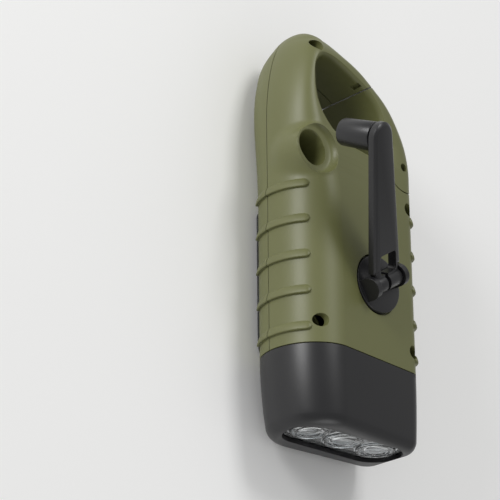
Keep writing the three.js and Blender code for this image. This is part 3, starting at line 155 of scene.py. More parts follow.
class StageSettings(PropertyGroup):
    focal_length: FloatProperty(name="Focal length", description="Lens on a 36 mm sensor", default=163.88)
    floor_colour: colour("Floor", "Colour of the floor", "#FAFAF9")


def settings(group):
    return getattr(bpy.context.scene, "flashlight_" + group)


def mm(group, name):
    return getattr(settings(group), name) / MM


def mix(a, b, share):
    return a + (b - a) * share


def smooth(value, low, high):
    t = min(1, max(0, (value - low) / (high - low)))
    return t * t * (3 - 2 * t)


# Meshes

def linked(name, data):
    obj = bpy.data.objects.new(name, data)
    bpy.context.scene.collection.objects.link(obj)
    return obj


def mesh_object(name, points, faces):
    mesh = bpy.data.meshes.new(name)
    mesh.from_pydata([tuple(p) for p in points], [], faces)
    work = bmesh.new()
    work.from_mesh(mesh)
    bmesh.ops.remove_doubles(work, verts=work.verts, dist=1e-4)
    bmesh.ops.recalc_face_normals(work, faces=work.faces)
    work.to_mesh(mesh)
    work.free()
    return linked(name, mesh)


def skin(count, total, closed=False):
    """The faces between rings that have equally many points."""
    faces = []
    for i in range(total if closed else total - 1):
        low, high = i * count, (i + 1) % total * count
        for j in range(count):
            k = (j + 1) % count
            faces.append((low + j, low + k, high + k, high + j))
    return faces


def loft(name, rings, closed=False):
    """A skin over rings, closed by flat ends or back onto its first ring."""
    count, total = len(rings[0]), len(rings)
    points = [p for ring in rings for p in ring]
    faces = skin(count, total, closed)
    if not closed:
        faces.append(tuple(range(count)))
        faces.append(tuple((total - 1) * count + j for j in range(count)))
    return mesh_object(name, points, faces)


def turned(name, profile, steps=64):
    """A profile of radii and heights turned about Z. Off the axis it is a closed ring."""
    turns = [2 * pi * i / steps for i in range(steps)]
    rings = [[(radius * cos(turn), radius * sin(turn), height) for turn in turns]
             for radius, height in profile]
    if profile[0][0] > 0:
        return loft(name, rings, closed=True)
    points = [p for r in rings[1:-1] for p in r]
    bottom, top = len(points), len(points) + 1
    points += [(0, 0, profile[0][1]), (0, 0, profile[-1][1])]
    faces = skin(steps, len(rings) - 2)
    last = (len(rings) - 3) * steps
    for j in range(steps):
        k = (j + 1) % steps
        faces.append((bottom, k, j))
        faces.append((top, last + j, last + k))
    return mesh_object(name, points, faces)


def rod(name, radius, low, high, steps=64):
    return turned(name, [(0, low), (radius, low), (radius, high), (0, high)], steps)


def prism(name, outline, low, high):
    return loft(name, [[(x, y, z) for x, y in outline] for z in (low, high)])


def block(name, x0, x1, y0, y1, z0, z1):
    return prism(name, [(x0, y0), (x1, y0), (x1, y1), (x0, y1)], z0, z1)


def moved(obj, matrix):
    obj.data.transform(matrix)
    return obj


def at(obj, x, y):
    return moved(obj, Matrix.Translation((x, y, 0)))


def along_x(obj, x, y, z):
    return moved(obj, Matrix.Translation((x, y, z)) @ Matrix.Rotation(pi / 2, 4, "Y"))


def along_minus_y(obj, x, y, z):
    return moved(obj, Matrix.Translation((x, y, z)) @ Matrix.Rotation(pi / 2, 4, "X"))


def applied(obj):
    """The mesh of an object with its modifier, which is then dropped."""
    made = bpy.data.meshes.new_from_object(obj.evaluated_get(bpy.context.evaluated_depsgraph_get()))
    obj.modifiers.clear()
    return made


def combine(obj, tool, how):
    """Joins a solid with another, or cuts it by another, and drops the other."""
    modifier = obj.modifiers.new("solid", "BOOLEAN")
    modifier.operation = how
    modifier.solver = "MANIFOLD"
    modifier.object = tool
    made = applied(obj)
    if not made.polygons:
        raise RuntimeError(f"{obj.name} and {tool.name} left nothing")
    obj.data = made
    bpy.data.objects.remove(tool)
    return obj


def joined(obj, *tools):
    for tool in tools:
        combine(obj, tool, "UNION")
    return obj


def cut(obj, *tools):
    for tool in tools:
        combine(obj, tool, "DIFFERENCE")
    return obj


def kept(obj, tool):
    return combine(obj, tool, "INTERSECT")


def bevelled(obj, width, segments, angle):
    """Rounds the edges that are sharper than the angle."""
    modifier = obj.modifiers.new("edges", "BEVEL")
    modifier.width = width
    modifier.segments = segments
    modifier.limit_method = "ANGLE"
    modifier.angle_limit = radians(angle)
    modifier.use_clamp_overlap = True
    obj.data = applied(obj)
    return obj


def finished(obj, name, finish, body, nodes, angle=32):
    """Names a piece, smooths it, gives it its material and seats it on its body."""
    obj.name = name
    obj.data.transform(Matrix.Scale(MM, 4))
    obj.data.shade_smooth()
    obj.data.set_sharp_from_angle(angle=radians(angle))
    obj.data.materials.clear()
    obj.data.materials.append(finish)
    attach(obj, body)
    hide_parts(*nodes)
    return obj


# Curves

def through(points, closed, steps, power):
    """A smooth curve through the points, with knots spaced by a power of their distance."""
    knots = [Vector(p) for p in points]
    if closed:
        knots = knots[-1:] + knots + knots[:2]
    else:
        knots = [2 * knots[0] - knots[1]] + knots + [2 * knots[-1] - knots[-2]]
    made = []
    for p in zip(knots, knots[1:], knots[2:], knots[3:]):
        t = [0.0]
        for k in range(3):
            t.append(t[-1] + max(1e-6, (p[k + 1] - p[k]).length ** power))
        for s in range(steps):
            u = mix(t[1], t[2], s / steps)
            a = [(p[k] * (t[k + 1] - u) + p[k + 1] * (u - t[k])) / (t[k + 1] - t[k]) for k in range(3)]
            b = [(a[k] * (t[k + 2] - u) + a[k + 1] * (u - t[k])) / (t[k + 2] - t[k]) for k in range(2)]
            made.append((b[0] * (t[2] - u) + b[1] * (u - t[1])) / (t[2] - t[1]))
    if not closed:
        made.append(Vector(points[-1]))
    return made


def arc(cx, cy, radius, start, stop, steps):
    return [(cx + radius * cos(mix(start, stop, i / steps)), cy + radius * sin(mix(start, stop, i / steps)))
            for i in range(steps + 1)]


def rounded_rect(cx, cy, wide, tall, radius, steps=8):
    w, h = wide / 2 - radius, tall / 2 - radius
    corners = [(w, h), (-w, h), (-w, -h), (w, -h)]
    return [p for i, (dx, dy) in enumerate(corners)
            for p in arc(cx + dx, cy + dy, radius, i * pi / 2, (i + 1) * pi / 2, steps)]


# Case

class Hull:
    """Cross-sections of the case and the head."""

    def __init__(self):
        self.half_l = mm("case", "body_length") / 2
        self.half_w = mm("case", "body_width") / 2
        self.depth = mm("case", "spine_depth")
        self.mid = mm("case", "ground_step") + self.depth / 2
        self.seam_low = mm("case", "seam_height") - mm("case", "seam_gap") / 2
        self.seam_high = mm("case", "seam_height") + mm("case", "seam_gap") / 2
        self.low, self.high = self.mid - self.depth / 2, self.mid + self.depth / 2
        self.head = mm("head", "head_length")
        self.line = self.head - self.half_l
        self.tip_x = -0.57 * self.half_w
        self.turn = 0.485 * self.half_l
        edge = [(x * self.half_w, y * self.half_l) for x, y in GATE_EDGE]
        self.edge = through(edge, False, 40, 0)
        self.outward = Vector((-sin(ARM_TURN), cos(ARM_TURN)))
        self.seat = HUB.xy + self.outward * mm("crank", "reach")
        self.lean = 1.3  # the seat's mouth is drawn out this far for the swing of the knob
        self.swell = self.seat + self.outward * self.lean / 2
        self.seat_top = self.high - 3.3
        knob_top = HINGE.z - mm("crank", "arm_thickness") / 2 - KNOB_PLAY
        self.seat_floor = knob_top - mm("crank", "knob_length") - KNOB_PLAY
        side, low = self.half_w - 3.5, self.line + 7.1
        self.screws = [(-0.64 * self.half_w, 0.885 * self.half_l), (side, 0.2 * self.half_l),
                       (6.7 - self.half_w, low), (side, low)]
        self.eye = through([(x * self.half_w, y * self.half_l) for x, y in EYE_RIM], True, 12, 0.5)

    def spine(self, y):
        """The edge on the spine side."""
        if y < self.turn:
            return -self.half_w
        rise = min(1, (y - self.turn) / (self.half_l - self.turn))
        return self.tip_x - (self.half_w + self.tip_x) * sqrt(1 - rise * rise)

    def gate(self, y):
        """The edge on the gate side."""
        if y <= self.edge[0].y:
            return self.half_w
        for a, b in zip(self.edge, self.edge[1:]):
            if b.y >= y:
                return mix(a.x, b.x, (y - a.y) / (b.y - a.y))
        return self.edge[-1].x

    def slope(self, side, y):
        step = self.half_l / 250
        top = min(y, self.half_l - 2 * step)
        return (side(top + step) - side(top - step)) / (2 * step)

    def setback(self, y):
        """How far the head draws in towards the lens end."""
        if y >= self.line:
            return 0
        along = (self.line - y) / self.head
        end = max(0, (-self.half_l + HEAD_ROUND - y) / HEAD_ROUND)
        return HEAD_TAPER * along * along + HEAD_ROUND * (1 - sqrt(max(0, 1 - end * end)))

    def section(self, y, inset=0.0, setback=0.0, nose_steps=40, corner_steps=8):
        """The outline across the case: a round spine, and flatter faces that end in the corners."""
        along = min(1, max(0, (self.line - y) / self.head))
        back = inset + setback
        left = self.spine(y) + back + (1.6 * along * along if setback > 0 else 0)
        right = self.gate(y) - inset - setback * 0.5
        hook = smooth(y, self.half_l * 0.08, self.half_l * 0.72)
        dome = sqrt(1 - (max(0, (y - self.half_l + 12) / 12.12)) ** 2)
        half = self.depth / 2
        spine_up = (half - HOOK_DROP * hook) * dome - back
        spine_down = (half - HOOK_RISE * hook) * dome - back
        gate_up = (half - mix(GATE_DROP, 3.6, hook)) * dome - back
        gate_down = (half - mix(GATE_RISE, 2.3, hook)) * dome - back
        most = (right - left) / 2
        nose = min((mix(NOSE, HOOK_NOSE, hook) - back) * hypot(1, self.slope(self.spine, y)), most)
        corner = min((CORNER - back / 2) * hypot(1, self.slope(self.gate, y)), most)
        corner_z = min(CORNER - back / 2, gate_up * 0.9)
        ring = []
        for i in range(nose_steps + 1):
            angle = pi / 2 + pi * i / nose_steps
            height = spine_up if angle < pi else spine_down
            ring.append((left + nose + nose * cos(angle), y, self.mid + height * sin(angle)))
        for start, low, turn in ((-pi / 2, -gate_down, 1), (0, gate_up, -1)):
            for i in range(corner_steps + 1):
                angle = start + pi / 2 * i / corner_steps
                ring.append((right - corner + corner * cos(angle), y,
                             self.mid + low + turn * corner_z + corner_z * sin(angle)))
        return ring

    def swollen(self, ring):
        """A section pushed out where the knob seat swells softly out of the spine."""
        radius, blend, foot, top = 6.9, 3.6, self.mid + 6, self.seat_top + 0.3
        furthest, step = 7.0, 0.05
        made = []
        for i, (x, y, z) in enumerate(ring):
            (ax, _, az), (bx, _, bz) = ring[i - 1], ring[(i + 1) % len(ring)]
            size = hypot(bx - ax, bz - az) or 1
            nx, nz = (bz - az) / size, (ax - bx) / size
            out = furthest
            while out > 0:
                px, pz = x + nx * out, z + nz * out
                beside = hypot(hypot(px - self.swell.x, y - self.swell.y), max(0, foot - pz)) - radius
                beside = max(beside, pz - top)
                overlap = max(blend - abs(out - beside), 0) / blend
                if min(out, beside) - overlap * overlap * blend / 4 <= 0:
                    break
                out -= step
            made.append((x + nx * max(0, out), y, z + nz * max(0, out)))
        return made

    def face_height(self, x):
        """Height of the crank face."""
        share = (x + self.half_w - NOSE) / (2 * self.half_w - NOSE - CORNER)
        return self.high - GATE_DROP * share


def case_stations(hull):
    """Where the sections of the case stand."""
    bend, dome, tip = [hull.half_l * share for share in (0.06, 0.82, 0.999)]
    return ([mix(hull.line, bend, i / 6) for i in range(6)] + [mix(bend, dome, i / 46) for i in range(46)]
            + [mix(dome, tip, sin(pi / 2 * i / 20)) for i in range(21)])


def hull_solid(hull, skip=1):
    """The plain case without ribs, seat or openings."""
    return loft("hull", [hull.section(y) for y in case_stations(hull)[::skip]])


def ring_at(section, y):
    return [(x, y, z) for x, _, z in section]


def slab(low, high):
    """A block wider and longer than the case."""
    return block("slab", -40, 40, -90, 90, low, high)


def at_gate_pin(obj):
    return at(obj, *GATE_PIN.xy)


def eye_ring(hull, z, grow):
    """The rim of the eye at a height, grown outwards."""
    ring = []
    for i, p in enumerate(hull.eye):
        along = (hull.eye[(i + 1) % len(hull.eye)] - hull.eye[i - 1]).normalized()
        ring.append((p.x + along.y * grow, p.y - along.x * grow, z))
    return ring


def eye_cutter(hull):
    """The opening of the carabiner, with rounded rims on both faces."""
    low, high = hull.low + HOOK_RISE, hull.high - HOOK_DROP
    rim = [(-0.3, 2.2), (0.2, 1.3), (0.7, 0.65), (1.3, 0.25), (2.0, 0.05), (2.6, 0)]
    levels = [(BELOW, 4)] + [(low + z, grow) for z, grow in rim]
    levels += [(high - z, grow) for z, grow in reversed(rim)] + [(hull.high + 6, 4)]
    return loft("eye cutter", [eye_ring(hull, z, grow) for z, grow in levels])


def rib_solid(path, y, ends):
    """One rib along a path round the section: proud at its lower edge, its ends rounded off."""
    proud = mm("case", "rib_proud")
    half, root = 1.35, -0.8
    shape = [(-half, root), (-1.32, proud * 0.82), (-1.1, proud), (-0.5, proud * 0.93), (0.6, proud * 0.6),
             (1.25, proud * 0.3), (1.6, -0.05), (1.6, root)]
    travelled = [0.0]
    for a, b in zip(path, path[1:]):
        travelled.append(travelled[-1] + hypot(b[0] - a[0], b[1] - a[1]))
    rings = []
    for (x, z, nx, nz), s in zip(path, travelled):
        near = min(1, min(s, travelled[-1] - s) / ends)
        round_off = sqrt(max(0.0004, 1 - (1 - near) ** 2))
        ring = []
        for along, out in shape:
            rise = out * min(1, near * 2.5) if out > 0 else out
            ring.append((x + nx * rise, y + half + along * round_off, z + nz * rise))
        rings.append(ring)
    return loft("rib", rings)


def spine_path(hull, wrap, steps):
    """Points and outward directions round the spine."""
    path = []
    for i in range(steps + 1):
        angle = pi - wrap + 2 * wrap * i / steps
        nx, nz = cos(angle) / NOSE, sin(angle) / (hull.depth / 2)
        size = hypot(nx, nz)
        path.append((-hull.half_w + NOSE + NOSE * cos(angle), hull.mid + hull.depth / 2 * sin(angle),
                     nx / size, nz / size))
    return path


def gate_path(hull, steps):
    """Points and outward directions over the flat gate side and part of its corners."""
    x, wrap = hull.half_w - CORNER, 0.7
    low, high = hull.low + GATE_RISE + CORNER, hull.high - GATE_DROP - CORNER
    path = []
    for z, start in ((low, -wrap), (high, 0)):
        for i in range(steps + 1):
            angle = (start + wrap * i / steps) * pi / 2
            path.append((x + CORNER * cos(angle), z + CORNER * sin(angle), cos(angle), sin(angle)))
    return path


def gate_outline(hull, clear, heel_start):
    """The gate from above: a heel round its pin, and the arc that its tip swings on."""
    px, py = GATE_PIN.x, GATE_PIN.y
    left = radians(128)
    inner = 0.08 * hull.half_w - 1
    return (arc(px, py, GATE_HEEL + clear, heel_start, 2 * pi, 48)
            + [(hull.half_w + 6, py)]
            + arc(px, py, GATE_REACH + clear, left / 2, left, 40)
            + [(inner, py + 14), (inner, py + 4.3)])


def seat_bore(hull):
    """The bore of the knob seat, drawn out at its mouth for the swing of the knob."""
    radius, top, steps = mm("crank", "seat_radius"), hull.seat_top, 72
    rings = []
    for z, lean, grow in ((hull.seat_floor, 0, 0), (hull.seat_floor + 1.5, 0, 0), (top - 0.5, 0.94, 0),
                          (top - 0.15, 0.98, 0.12), (top + 0.1, 1, 0.45), (top + 6, 1, 0.45)):
        shift = hull.outward * hull.lean * lean
        rings.append([(x, y, z) for x, y in arc(hull.seat.x + shift.x, hull.seat.y + shift.y, radius + grow,
                                                0, 2 * pi, steps)[:-1]])
    straight = at(rod("seat", radius, hull.seat_floor, top + 0.5, steps), *hull.seat)
    return joined(loft("seat bore", rings), straight)


def case_body(hull):
    """The case with its ribs and its swelling, where the sections lie closer."""
    apart, count, near, nose_steps = 0.6, 25, 15.3, 90
    close = [hull.swell.y + step * apart for step in range(-count, count + 1)]
    stations = sorted([y for y in case_stations(hull) if abs(y - hull.swell.y) > near] + close)
    rings = [hull.section(y, nose_steps=nose_steps) for y in stations]
    rings = [hull.swollen(ring) if abs(ring[0][1] - hull.swell.y) < near else ring for ring in rings]
    body = loft("case", rings)
    spine_ribs = spine_path(hull, radians(47), 40)
    gate_ribs = gate_path(hull, 12)
    first_rib = hull.line + 51.35
    for i in range(settings("case").rib_count):
        y = first_rib - i * mm("case", "rib_pitch")
        joined(body, rib_solid(spine_ribs, y, 2.2), rib_solid(gate_ribs, y, 1.6))
    return body


def case_cavity(hull):
    """The hollow of the grip, with a solid post left round the gate's pin."""
    bend, top, wall = hull.half_l * 0.06, hull.half_l * 0.36, mm("case", "wall")
    stations = [(hull.line - 6, 0), (bend, 0)]
    stations += [(mix(bend, top, i / 6), 1.6 if i == 6 else 0) for i in range(1, 7)]
    rings = [ring_at(hull.section(max(y, hull.line), wall + extra), y) for y, extra in stations]
    return cut(loft("cavity", rings), at_gate_pin(rod("guard", 11.1, BELOW, ABOVE)))


def neck(hull, low, high):
    """The collar of a shell that the head slides over."""
    outer = [ring_at(hull.section(hull.line, inset), hull.line + ahead)
             for ahead, inset in ((-7, 2.3), (0.05, 2.3), (0.06, 1), (2, 1))]
    inner = [ring_at(hull.section(hull.line, 3.8), hull.line + ahead) for ahead in (-12, 4)]
    return kept(cut(loft("neck", outer), loft("neck bore", inner)), slab(low, high))


def solar_outline(hull, grow):
    """The frame's outline: an arched top that is higher on the spine side."""
    wide, arch, steps = mm("solar", "frame_width"), 3.2, 28
    r = 3 + grow
    left, right = SOLAR_X - wide / 2 - grow + r, SOLAR_X + wide / 2 + grow - r
    foot = hull.line + SOLAR_RISE
    low, high = foot - grow + r, foot + mm("solar", "frame_height") + grow
    a, b, c = [Vector(p) for p in ((right, high - arch), (SOLAR_X, high + arch), (left, high - arch / 3))]
    shares = [i / steps for i in range(1, steps)]
    curve = [a * (1 - t) ** 2 + b * 2 * t * (1 - t) + c * t * t for t in shares]
    return (arc(right, high - arch - r, r, 0, pi / 2, 8) + [(p.x, p.y) for p in curve]
            + arc(left, high - arch / 3 - r, r, pi / 2, pi, 8)
            + arc(left, low, r, pi, 1.5 * pi, 8) + arc(right, low, r, 1.5 * pi, 2 * pi, 8))


def crank_shell(hull, upper):
    """The half with the crank: bearing, knob seat, screw holes and the notch of the hook."""
    face, radius = hull.face_height(HUB.x), mm("crank", "hub_radius")
    shaft, floor, rim = 3.3, face - HUB_SINK, radius + 0.4
    tongue = joined(at_gate_pin(rod("tongue", 3.7, 14.4, 19.2)),
                    block("web", GATE_PIN.x - 3.7, GATE_PIN.x + 2.2, 16.7, GATE_PIN.y, 14.4, 19.2))
    bearing = turned("bearing", [(shaft, 26.75), (5.3, 26.75), (5.3, face - 4), (radius + 2, face - 3.6),
                                 (radius + 2, face - 1.9), (shaft, face - 1.9)])
    cup = joined(rod("cup", 6.8, hull.seat_floor - 1.5, hull.seat_top),
                 rod("dish floor", 11.3, hull.seat_top - 2, 33))
    kept(at(cup, *hull.swell), hull_solid(hull))
    joined(upper, neck(hull, hull.seam_high, 60), tongue, at(bearing, *HUB.xy), cup)
    dish = [(7.35, 0), (7.9, 0.25), (8.45, 0.85), (8.9, 1.75), (9.2, 2.8), (9.5, 3.6), (9.9, 4.6)]
    dish = [(0, hull.seat_top)] + [(r, hull.seat_top + rise) for r, rise in dish] + [(9.9, ABOVE), (0, ABOVE)]
    recess = [(0, floor), (rim, floor), (rim, face - 0.12), (rim + 0.16, face + 0.3), (rim + 0.16, ABOVE),
              (0, ABOVE)]
    cut(upper, at(turned("recess", recess, 96), *HUB.xy),
        at(rod("shaft bore", shaft, 0, ABOVE), *HUB.xy), at(turned("dish", dish, 96), *hull.swell),
        seat_bore(hull), at_gate_pin(rod("pin bore", 1.55, 0, ABOVE)))
    notch = moved(block("notch", -0.9, 0.9, -1.3, 1.3, 24.7, 28.2), Matrix.Rotation(radians(-27), 4, "Z"))
    cut(upper, at(notch, 0.072 * hull.half_w, 0.759 * hull.half_l))
    ledge, head_bore = 19.4, 2.15
    for x, y in hull.screws:
        joined(upper, kept(at(rod("boss", 3, hull.seam_high, 26), x, y), hull_solid(hull, 6)))
        hole = turned("screw hole", [(0, ledge), (head_bore, ledge), (head_bore, 60), (0, 60)])
        cut(upper, at(hole, x, y), at(rod("shank hole", 1.2, 0, 40, 24), x, y))
    finished(upper, "crank_shell", moulded_abs(), "case", ["crank_side_shell"])


def solar_shell(hull, lower):
    """The half with the solar cell: recess of the frame and hole of the button."""
    floor_plate = kept(prism("floor", solar_outline(hull, 2), -1, 4.7), hull_solid(hull, 6))
    joined(lower, neck(hull, -20, hull.seam_low), floor_plate)
    cut(lower, prism("frame recess", solar_outline(hull, 0.3), BELOW, 3.3),
        at_gate_pin(rod("pin bore", 1.55, BELOW, ABOVE)),
        along_x(rod("button hole", 2.8, 0, 12), hull.half_w - 4, BUTTON_Y, BUTTON_Z),
        along_x(rod("flange pocket", 3.7, -2, 1.1), hull.half_w - BUTTON_SINK, BUTTON_Y, BUTTON_Z))
    finished(lower, "solar_shell", moulded_abs(), "case", ["solar_side_shell"])


def build_gate(hull):
    """The spring gate, slotted for the tongue that carries its pin."""
    gate = kept(cut(hull_solid(hull), eye_cutter(hull)),
                prism("gate outline", gate_outline(hull, 0, radians(148)), BELOW, 44))
    low, high, slot, depth = 14.0, 23.1, 4.1, -11.3
    swept = [Matrix.Rotation(-GATE_OPEN, 2) @ Vector(p) for p in ((-slot, 0), (-slot, depth))]
    room = [(2.6, depth), (2.6, 0)] + [tuple(p) for p in swept]
    cut(gate, at_gate_pin(rod("slot", slot, low, high)), at_gate_pin(prism("web room", room, low, high)),
        at_gate_pin(rod("pin bore", 1.4, BELOW, ABOVE)), at_gate_pin(rod("head bore", 2.25, BELOW, 3.7)))
    finished(gate, "carabiner_gate", moulded_abs(), "gate", ["gate"])
    pin = turned("pin", [(0, 2.7), (1.2, 2.72), (1.8, 2.95), (2.1, 3.3), (2.1, 3.4), (1.25, 3.4),
                         (1.25, 25.9), (0, 25.9)])
    finished(at_gate_pin(pin), "gate_rivet", plated_steel(), "case", ["gate_pin"])


def build_case():
    hull = Hull()
    body = cut(case_body(hull), eye_cutter(hull))
    cut(body, prism("pocket", gate_outline(hull, 0.4, pi), BELOW, 44), case_cavity(hull))
    upper = kept(linked("upper", body.data.copy()), slab(hull.seam_high, 60))
    crank_shell(hull, upper)
    solar_shell(hull, kept(body, slab(-20, hull.seam_low)))
    build_gate(hull)


# Head and lamps

def at_lamp(obj, place):
    """Lays a piece on the axis of a lamp, counted from the middle one."""
    return along_minus_y(obj, LAMP_X + place * mm("head", "lamp_pitch"), 0, mm("head", "lamp_height"))


def lamp_plate(name, grow, low, high):
    """A plate with round ends that frames the three lamps."""
    pitch, cup, rim = mm("head", "lamp_pitch"), mm("head", "cup_radius"), 2.4
    wide, tall = pitch * 2 + cup * 2 + rim + grow * 2, cup * 2 + rim + grow * 2
    return at_lamp(prism(name, rounded_rect(0, 0, wide, tall, tall / 2 - 0.01, 24), low, high), 0)


def build_head():
    hull = Hull()
    half, joint, places = hull.half_l, hull.line - 0.3, (-1, 0, 1)
    stations = [mix(joint, -half + HEAD_ROUND, i / 16) for i in range(17)]
    stations += [-half + HEAD_ROUND * (1 - sin(pi / 2 * i / 12)) for i in range(1, 13)]
    head = loft("head", [hull.section(y, 0, hull.setback(y) + 0.003) for y in stations])
    inner = [mix(hull.line + 6, -half + 4.3, i / 8) for i in range(9)]
    cut(head, loft("bore", [ring_at(hull.section(min(y, joint), 2, hull.setback(y)), y) for y in inner]))
    rim, thick = half - WINDOW_SINK, 1.6
    cut(head, lamp_plate("mouth", 0.9, rim, half + 8), lamp_plate("throat", 1.3, 40, rim - 1.9),
        lamp_plate("seat", 1.3, rim - 2, rim + 0.1))
    finished(bevelled(head, 0.35, 3, 40), "head_shell", black_abs(), "case", ["head_bezel"])
    window = bevelled(lamp_plate("window", 1.0, rim - thick, rim), 0.3, 3, 50)
    optic = [(0, -1), (6.3, -1), (6.3, 0.35), (6.22, 0.5), (6.05, 0.58), (5.85, 0.5), (5.65, 0.25),
             (5.3, 0.2), (4.1, 0.38), (3.9, 0.55), (3.65, 0.62), (3.4, 0.55), (3.2, 0.36),
              (1.6, 0.52), (0, 0.58)]
    for i in places:
        joined(window, at_lamp(turned("optic", [(radius, rim + rise) for radius, rise in optic], 96), i))
    finished(window, "lamp_window", clear_polycarbonate(), "case", ["front_window"])
    front = rim - thick - 0.6 - 0.7
    back, mouth = front - 11, rim - thick - 0.05
    cup, neck_radius = mm("head", "cup_radius"), 2.9
    plate = lamp_plate("reflector", -0.3, back, front)
    for i in places:
        joined(plate, at_lamp(rod("collar", cup + 0.35, back + 1, mouth, 96), i))
    profile = [(0, back - 6), (neck_radius, back - 6)]
    profile += [(mix(neck_radius, cup, sqrt(s / 20)), mix(back, mouth, s / 20)) for s in range(21)]
    profile += [(cup, front + 6), (0, front + 6)]
    for i in places:
        cut(plate, at_lamp(turned("cup", profile, 96), i))
    finished(plate, "reflector_cups", vacuum_chrome(), "case", ["reflector"], angle=25)
    seat, bulb = back - 0.8, 2.5
    dome = [(bulb * cos(a), seat + 5.5 + bulb * sin(a)) for a in [pi / 2 * s / 12 for s in range(12)]]
    profile = [(0, seat), (3, seat), (3, seat + 0.5), (bulb, seat + 0.5)] + dome + [(0, seat + 8)]
    for i in places:
        finished(at_lamp(turned("lamp", profile, 48), i), f"lamp_{i + 2}", lamp_epoxy(), "case",
                 [f"led_{i + 2}"])


# Solar side

def cell_ring(hull, grow):
    """The rim of the cell in its frame, grown outwards."""
    wide, tall = mm("solar", "cell_width"), mm("solar", "cell_height")
    middle = hull.line + SOLAR_RISE + 6.2 + tall / 2
    return rounded_rect(-0.7, middle, wide + grow * 2, tall + grow * 2, 0.9 + grow / 2)


def slope_cutter(edge, width, depth, turn):
    """Takes away what lies outside a slope that rises towards an edge."""
    corners = [(edge - 6, -6), (edge + width, -6), (edge + width, 0), (edge + width * 0.5, depth * 0.42),
               (edge, depth), (edge - 6, depth + 8)]
    return moved(prism("slope", corners, -80, 80), turn)


def build_solar():
    hull = Hull()
    levels = [(0, -0.5), (0.14, -0.22), (0.5, 0), (3, 0)]
    frame_piece = loft("frame", [[(x, y, z) for x, y in solar_outline(hull, grow)] for z, grow in levels])
    lay, stand = Matrix.Rotation(pi / 2, 4, "X"), Matrix.Rotation(pi / 2, 4, "Z")
    mouth = [(-0.9, 2.2), (0, 1.1), (0.25, 0.7), (0.9, 0)]
    cut(frame_piece, slope_cutter(SOLAR_X - mm("solar", "frame_width") / 2, 3.9, 2.4, lay),
        slope_cutter(hull.line + SOLAR_RISE, 2.2, 1, stand @ lay),
        loft("mouth", [[(x, y, z) for x, y in cell_ring(hull, grow)] for z, grow in mouth]),
        prism("cell hole", cell_ring(hull, 0), -4, 8))
    finished(bevelled(frame_piece, 0.14, 2, 20), "cell_frame", black_abs(), "case", ["solar_frame"])
    cell = prism("cell", cell_ring(hull, -0.3), 0.9, 2.7)
    finished(bevelled(cell, 0.1, 2, 40), "cell_sheet", solar_silicon(), "case", ["solar_cell"])


# Crank

def build_hub():
    base = Hull().face_height(HUB.x) - HUB_SINK + 0.3
    top, ear_radius, ear_wide, ear_in = base + 1.9, 3.6, 2, 6.4
    radius = mm("crank", "hub_radius")
    disc = turned("disc", [(0, base), (radius, base), (radius, top - 0.5), (radius - 0.15, top - 0.15),
                           (radius - 0.5, top), (0, top)], 96)
    joined(disc, rod("shaft", 3, 26.4, base + 0.3), block("square", -2, 2, -2, 2, 23.3, 26.7))
    for x in (-ear_in - ear_wide, ear_in):
        ear = joined(along_x(rod("ear", ear_radius, 0, ear_wide), x, 0, HINGE.z),
                     block("root", x, x + ear_wide, -ear_radius, ear_radius, top - 0.5, HINGE.z))
        joined(disc, bevelled(ear, 0.35, 3, 40))
    cut(disc, along_x(rod("trough", 3.2, -ear_in, ear_in), 0, 0, HINGE.z), rod("pilot", PILOT, 0, 27.2, 24))
    cut(disc, along_x(rod("pin bore", PIN_BORE, -7.9, 7.9), 0, 0, HINGE.z))
    finished(moved(disc, HUB_PLACE), "hub_disc", black_nylon(), "crank_hub", ["crank_hub"])
    pin = turned("pin", [(0, -7.7), (0.75, -7.7), (0.9, -7.55), (0.9, 7.55), (0.75, 7.7), (0, 7.7)], 40)
    finished(moved(along_x(pin, 0, 0, 0), ARM_PLACE), "fold_pin", plated_steel(), "crank_arm",
             ["hinge_pin"])


def arm_outline(inset):
    """The tapering arm from above, with the narrower tab that lies between the ears."""
    root = mm("crank", "arm_root") / 2 - inset
    tip = mm("crank", "arm_tip") / 2 - inset
    tab, shoulder = 6 - inset, 4.4 + inset
    return ([(-root, shoulder), (-tab, shoulder), (-tab, inset), (tab, inset), (tab, shoulder),
             (root, shoulder)] + arc(0, mm("crank", "reach"), tip, 0, pi, 32))


def build_arm():
    reach, stock = mm("crank", "reach"), mm("crank", "arm_thickness") / 2
    levels = [(-stock, 0.45), (-stock + 0.2, 0.12), (-stock + 0.5, 0), (stock - 0.8, 0), (stock - 0.65, 0.1),
              (stock - 0.12, 0.95), (stock, 1.25)]
    arm = loft("arm", [[(x, y, z) for x, y in arm_outline(inset)] for z, inset in levels])
    joined(arm, bevelled(along_x(rod("barrel", 2.8, -6, 6), 0, 0, 0), 0.35, 3, 40))
    edge = 1.5
    root, tip = mm("crank", "arm_root") / 2 - edge, mm("crank", "arm_tip") / 2 - edge
    hollow = [(-root, 11.1), (root, 11.1), (tip, reach - tip - 3), (-tip, reach - tip - 3)]
    cut(arm, prism("hollow", hollow, -4, stock - 1.4),
        prism("window", rounded_rect(0, 6.4, 8.4, 6.4, 1.1), -4, 4),
        block("slot", -1.9, -0.3, -9, 6, -7, 7))
    post = joined(rod("post", 2, -stock - KNOB_PLAY - POST, 0), rod("spacer", 4.35, -stock - 0.2, 0))
    joined(arm, at(post, 0, reach))
    cut(arm, along_x(rod("pin bore", PIN_BORE, -20, 20), 0, 0, 0),
        at(rod("pilot", PILOT, -60, -5.5, 24), 0, reach))
    finished(moved(arm, ARM_PLACE), "arm", black_nylon(), "crank_arm", ["crank_arm"])


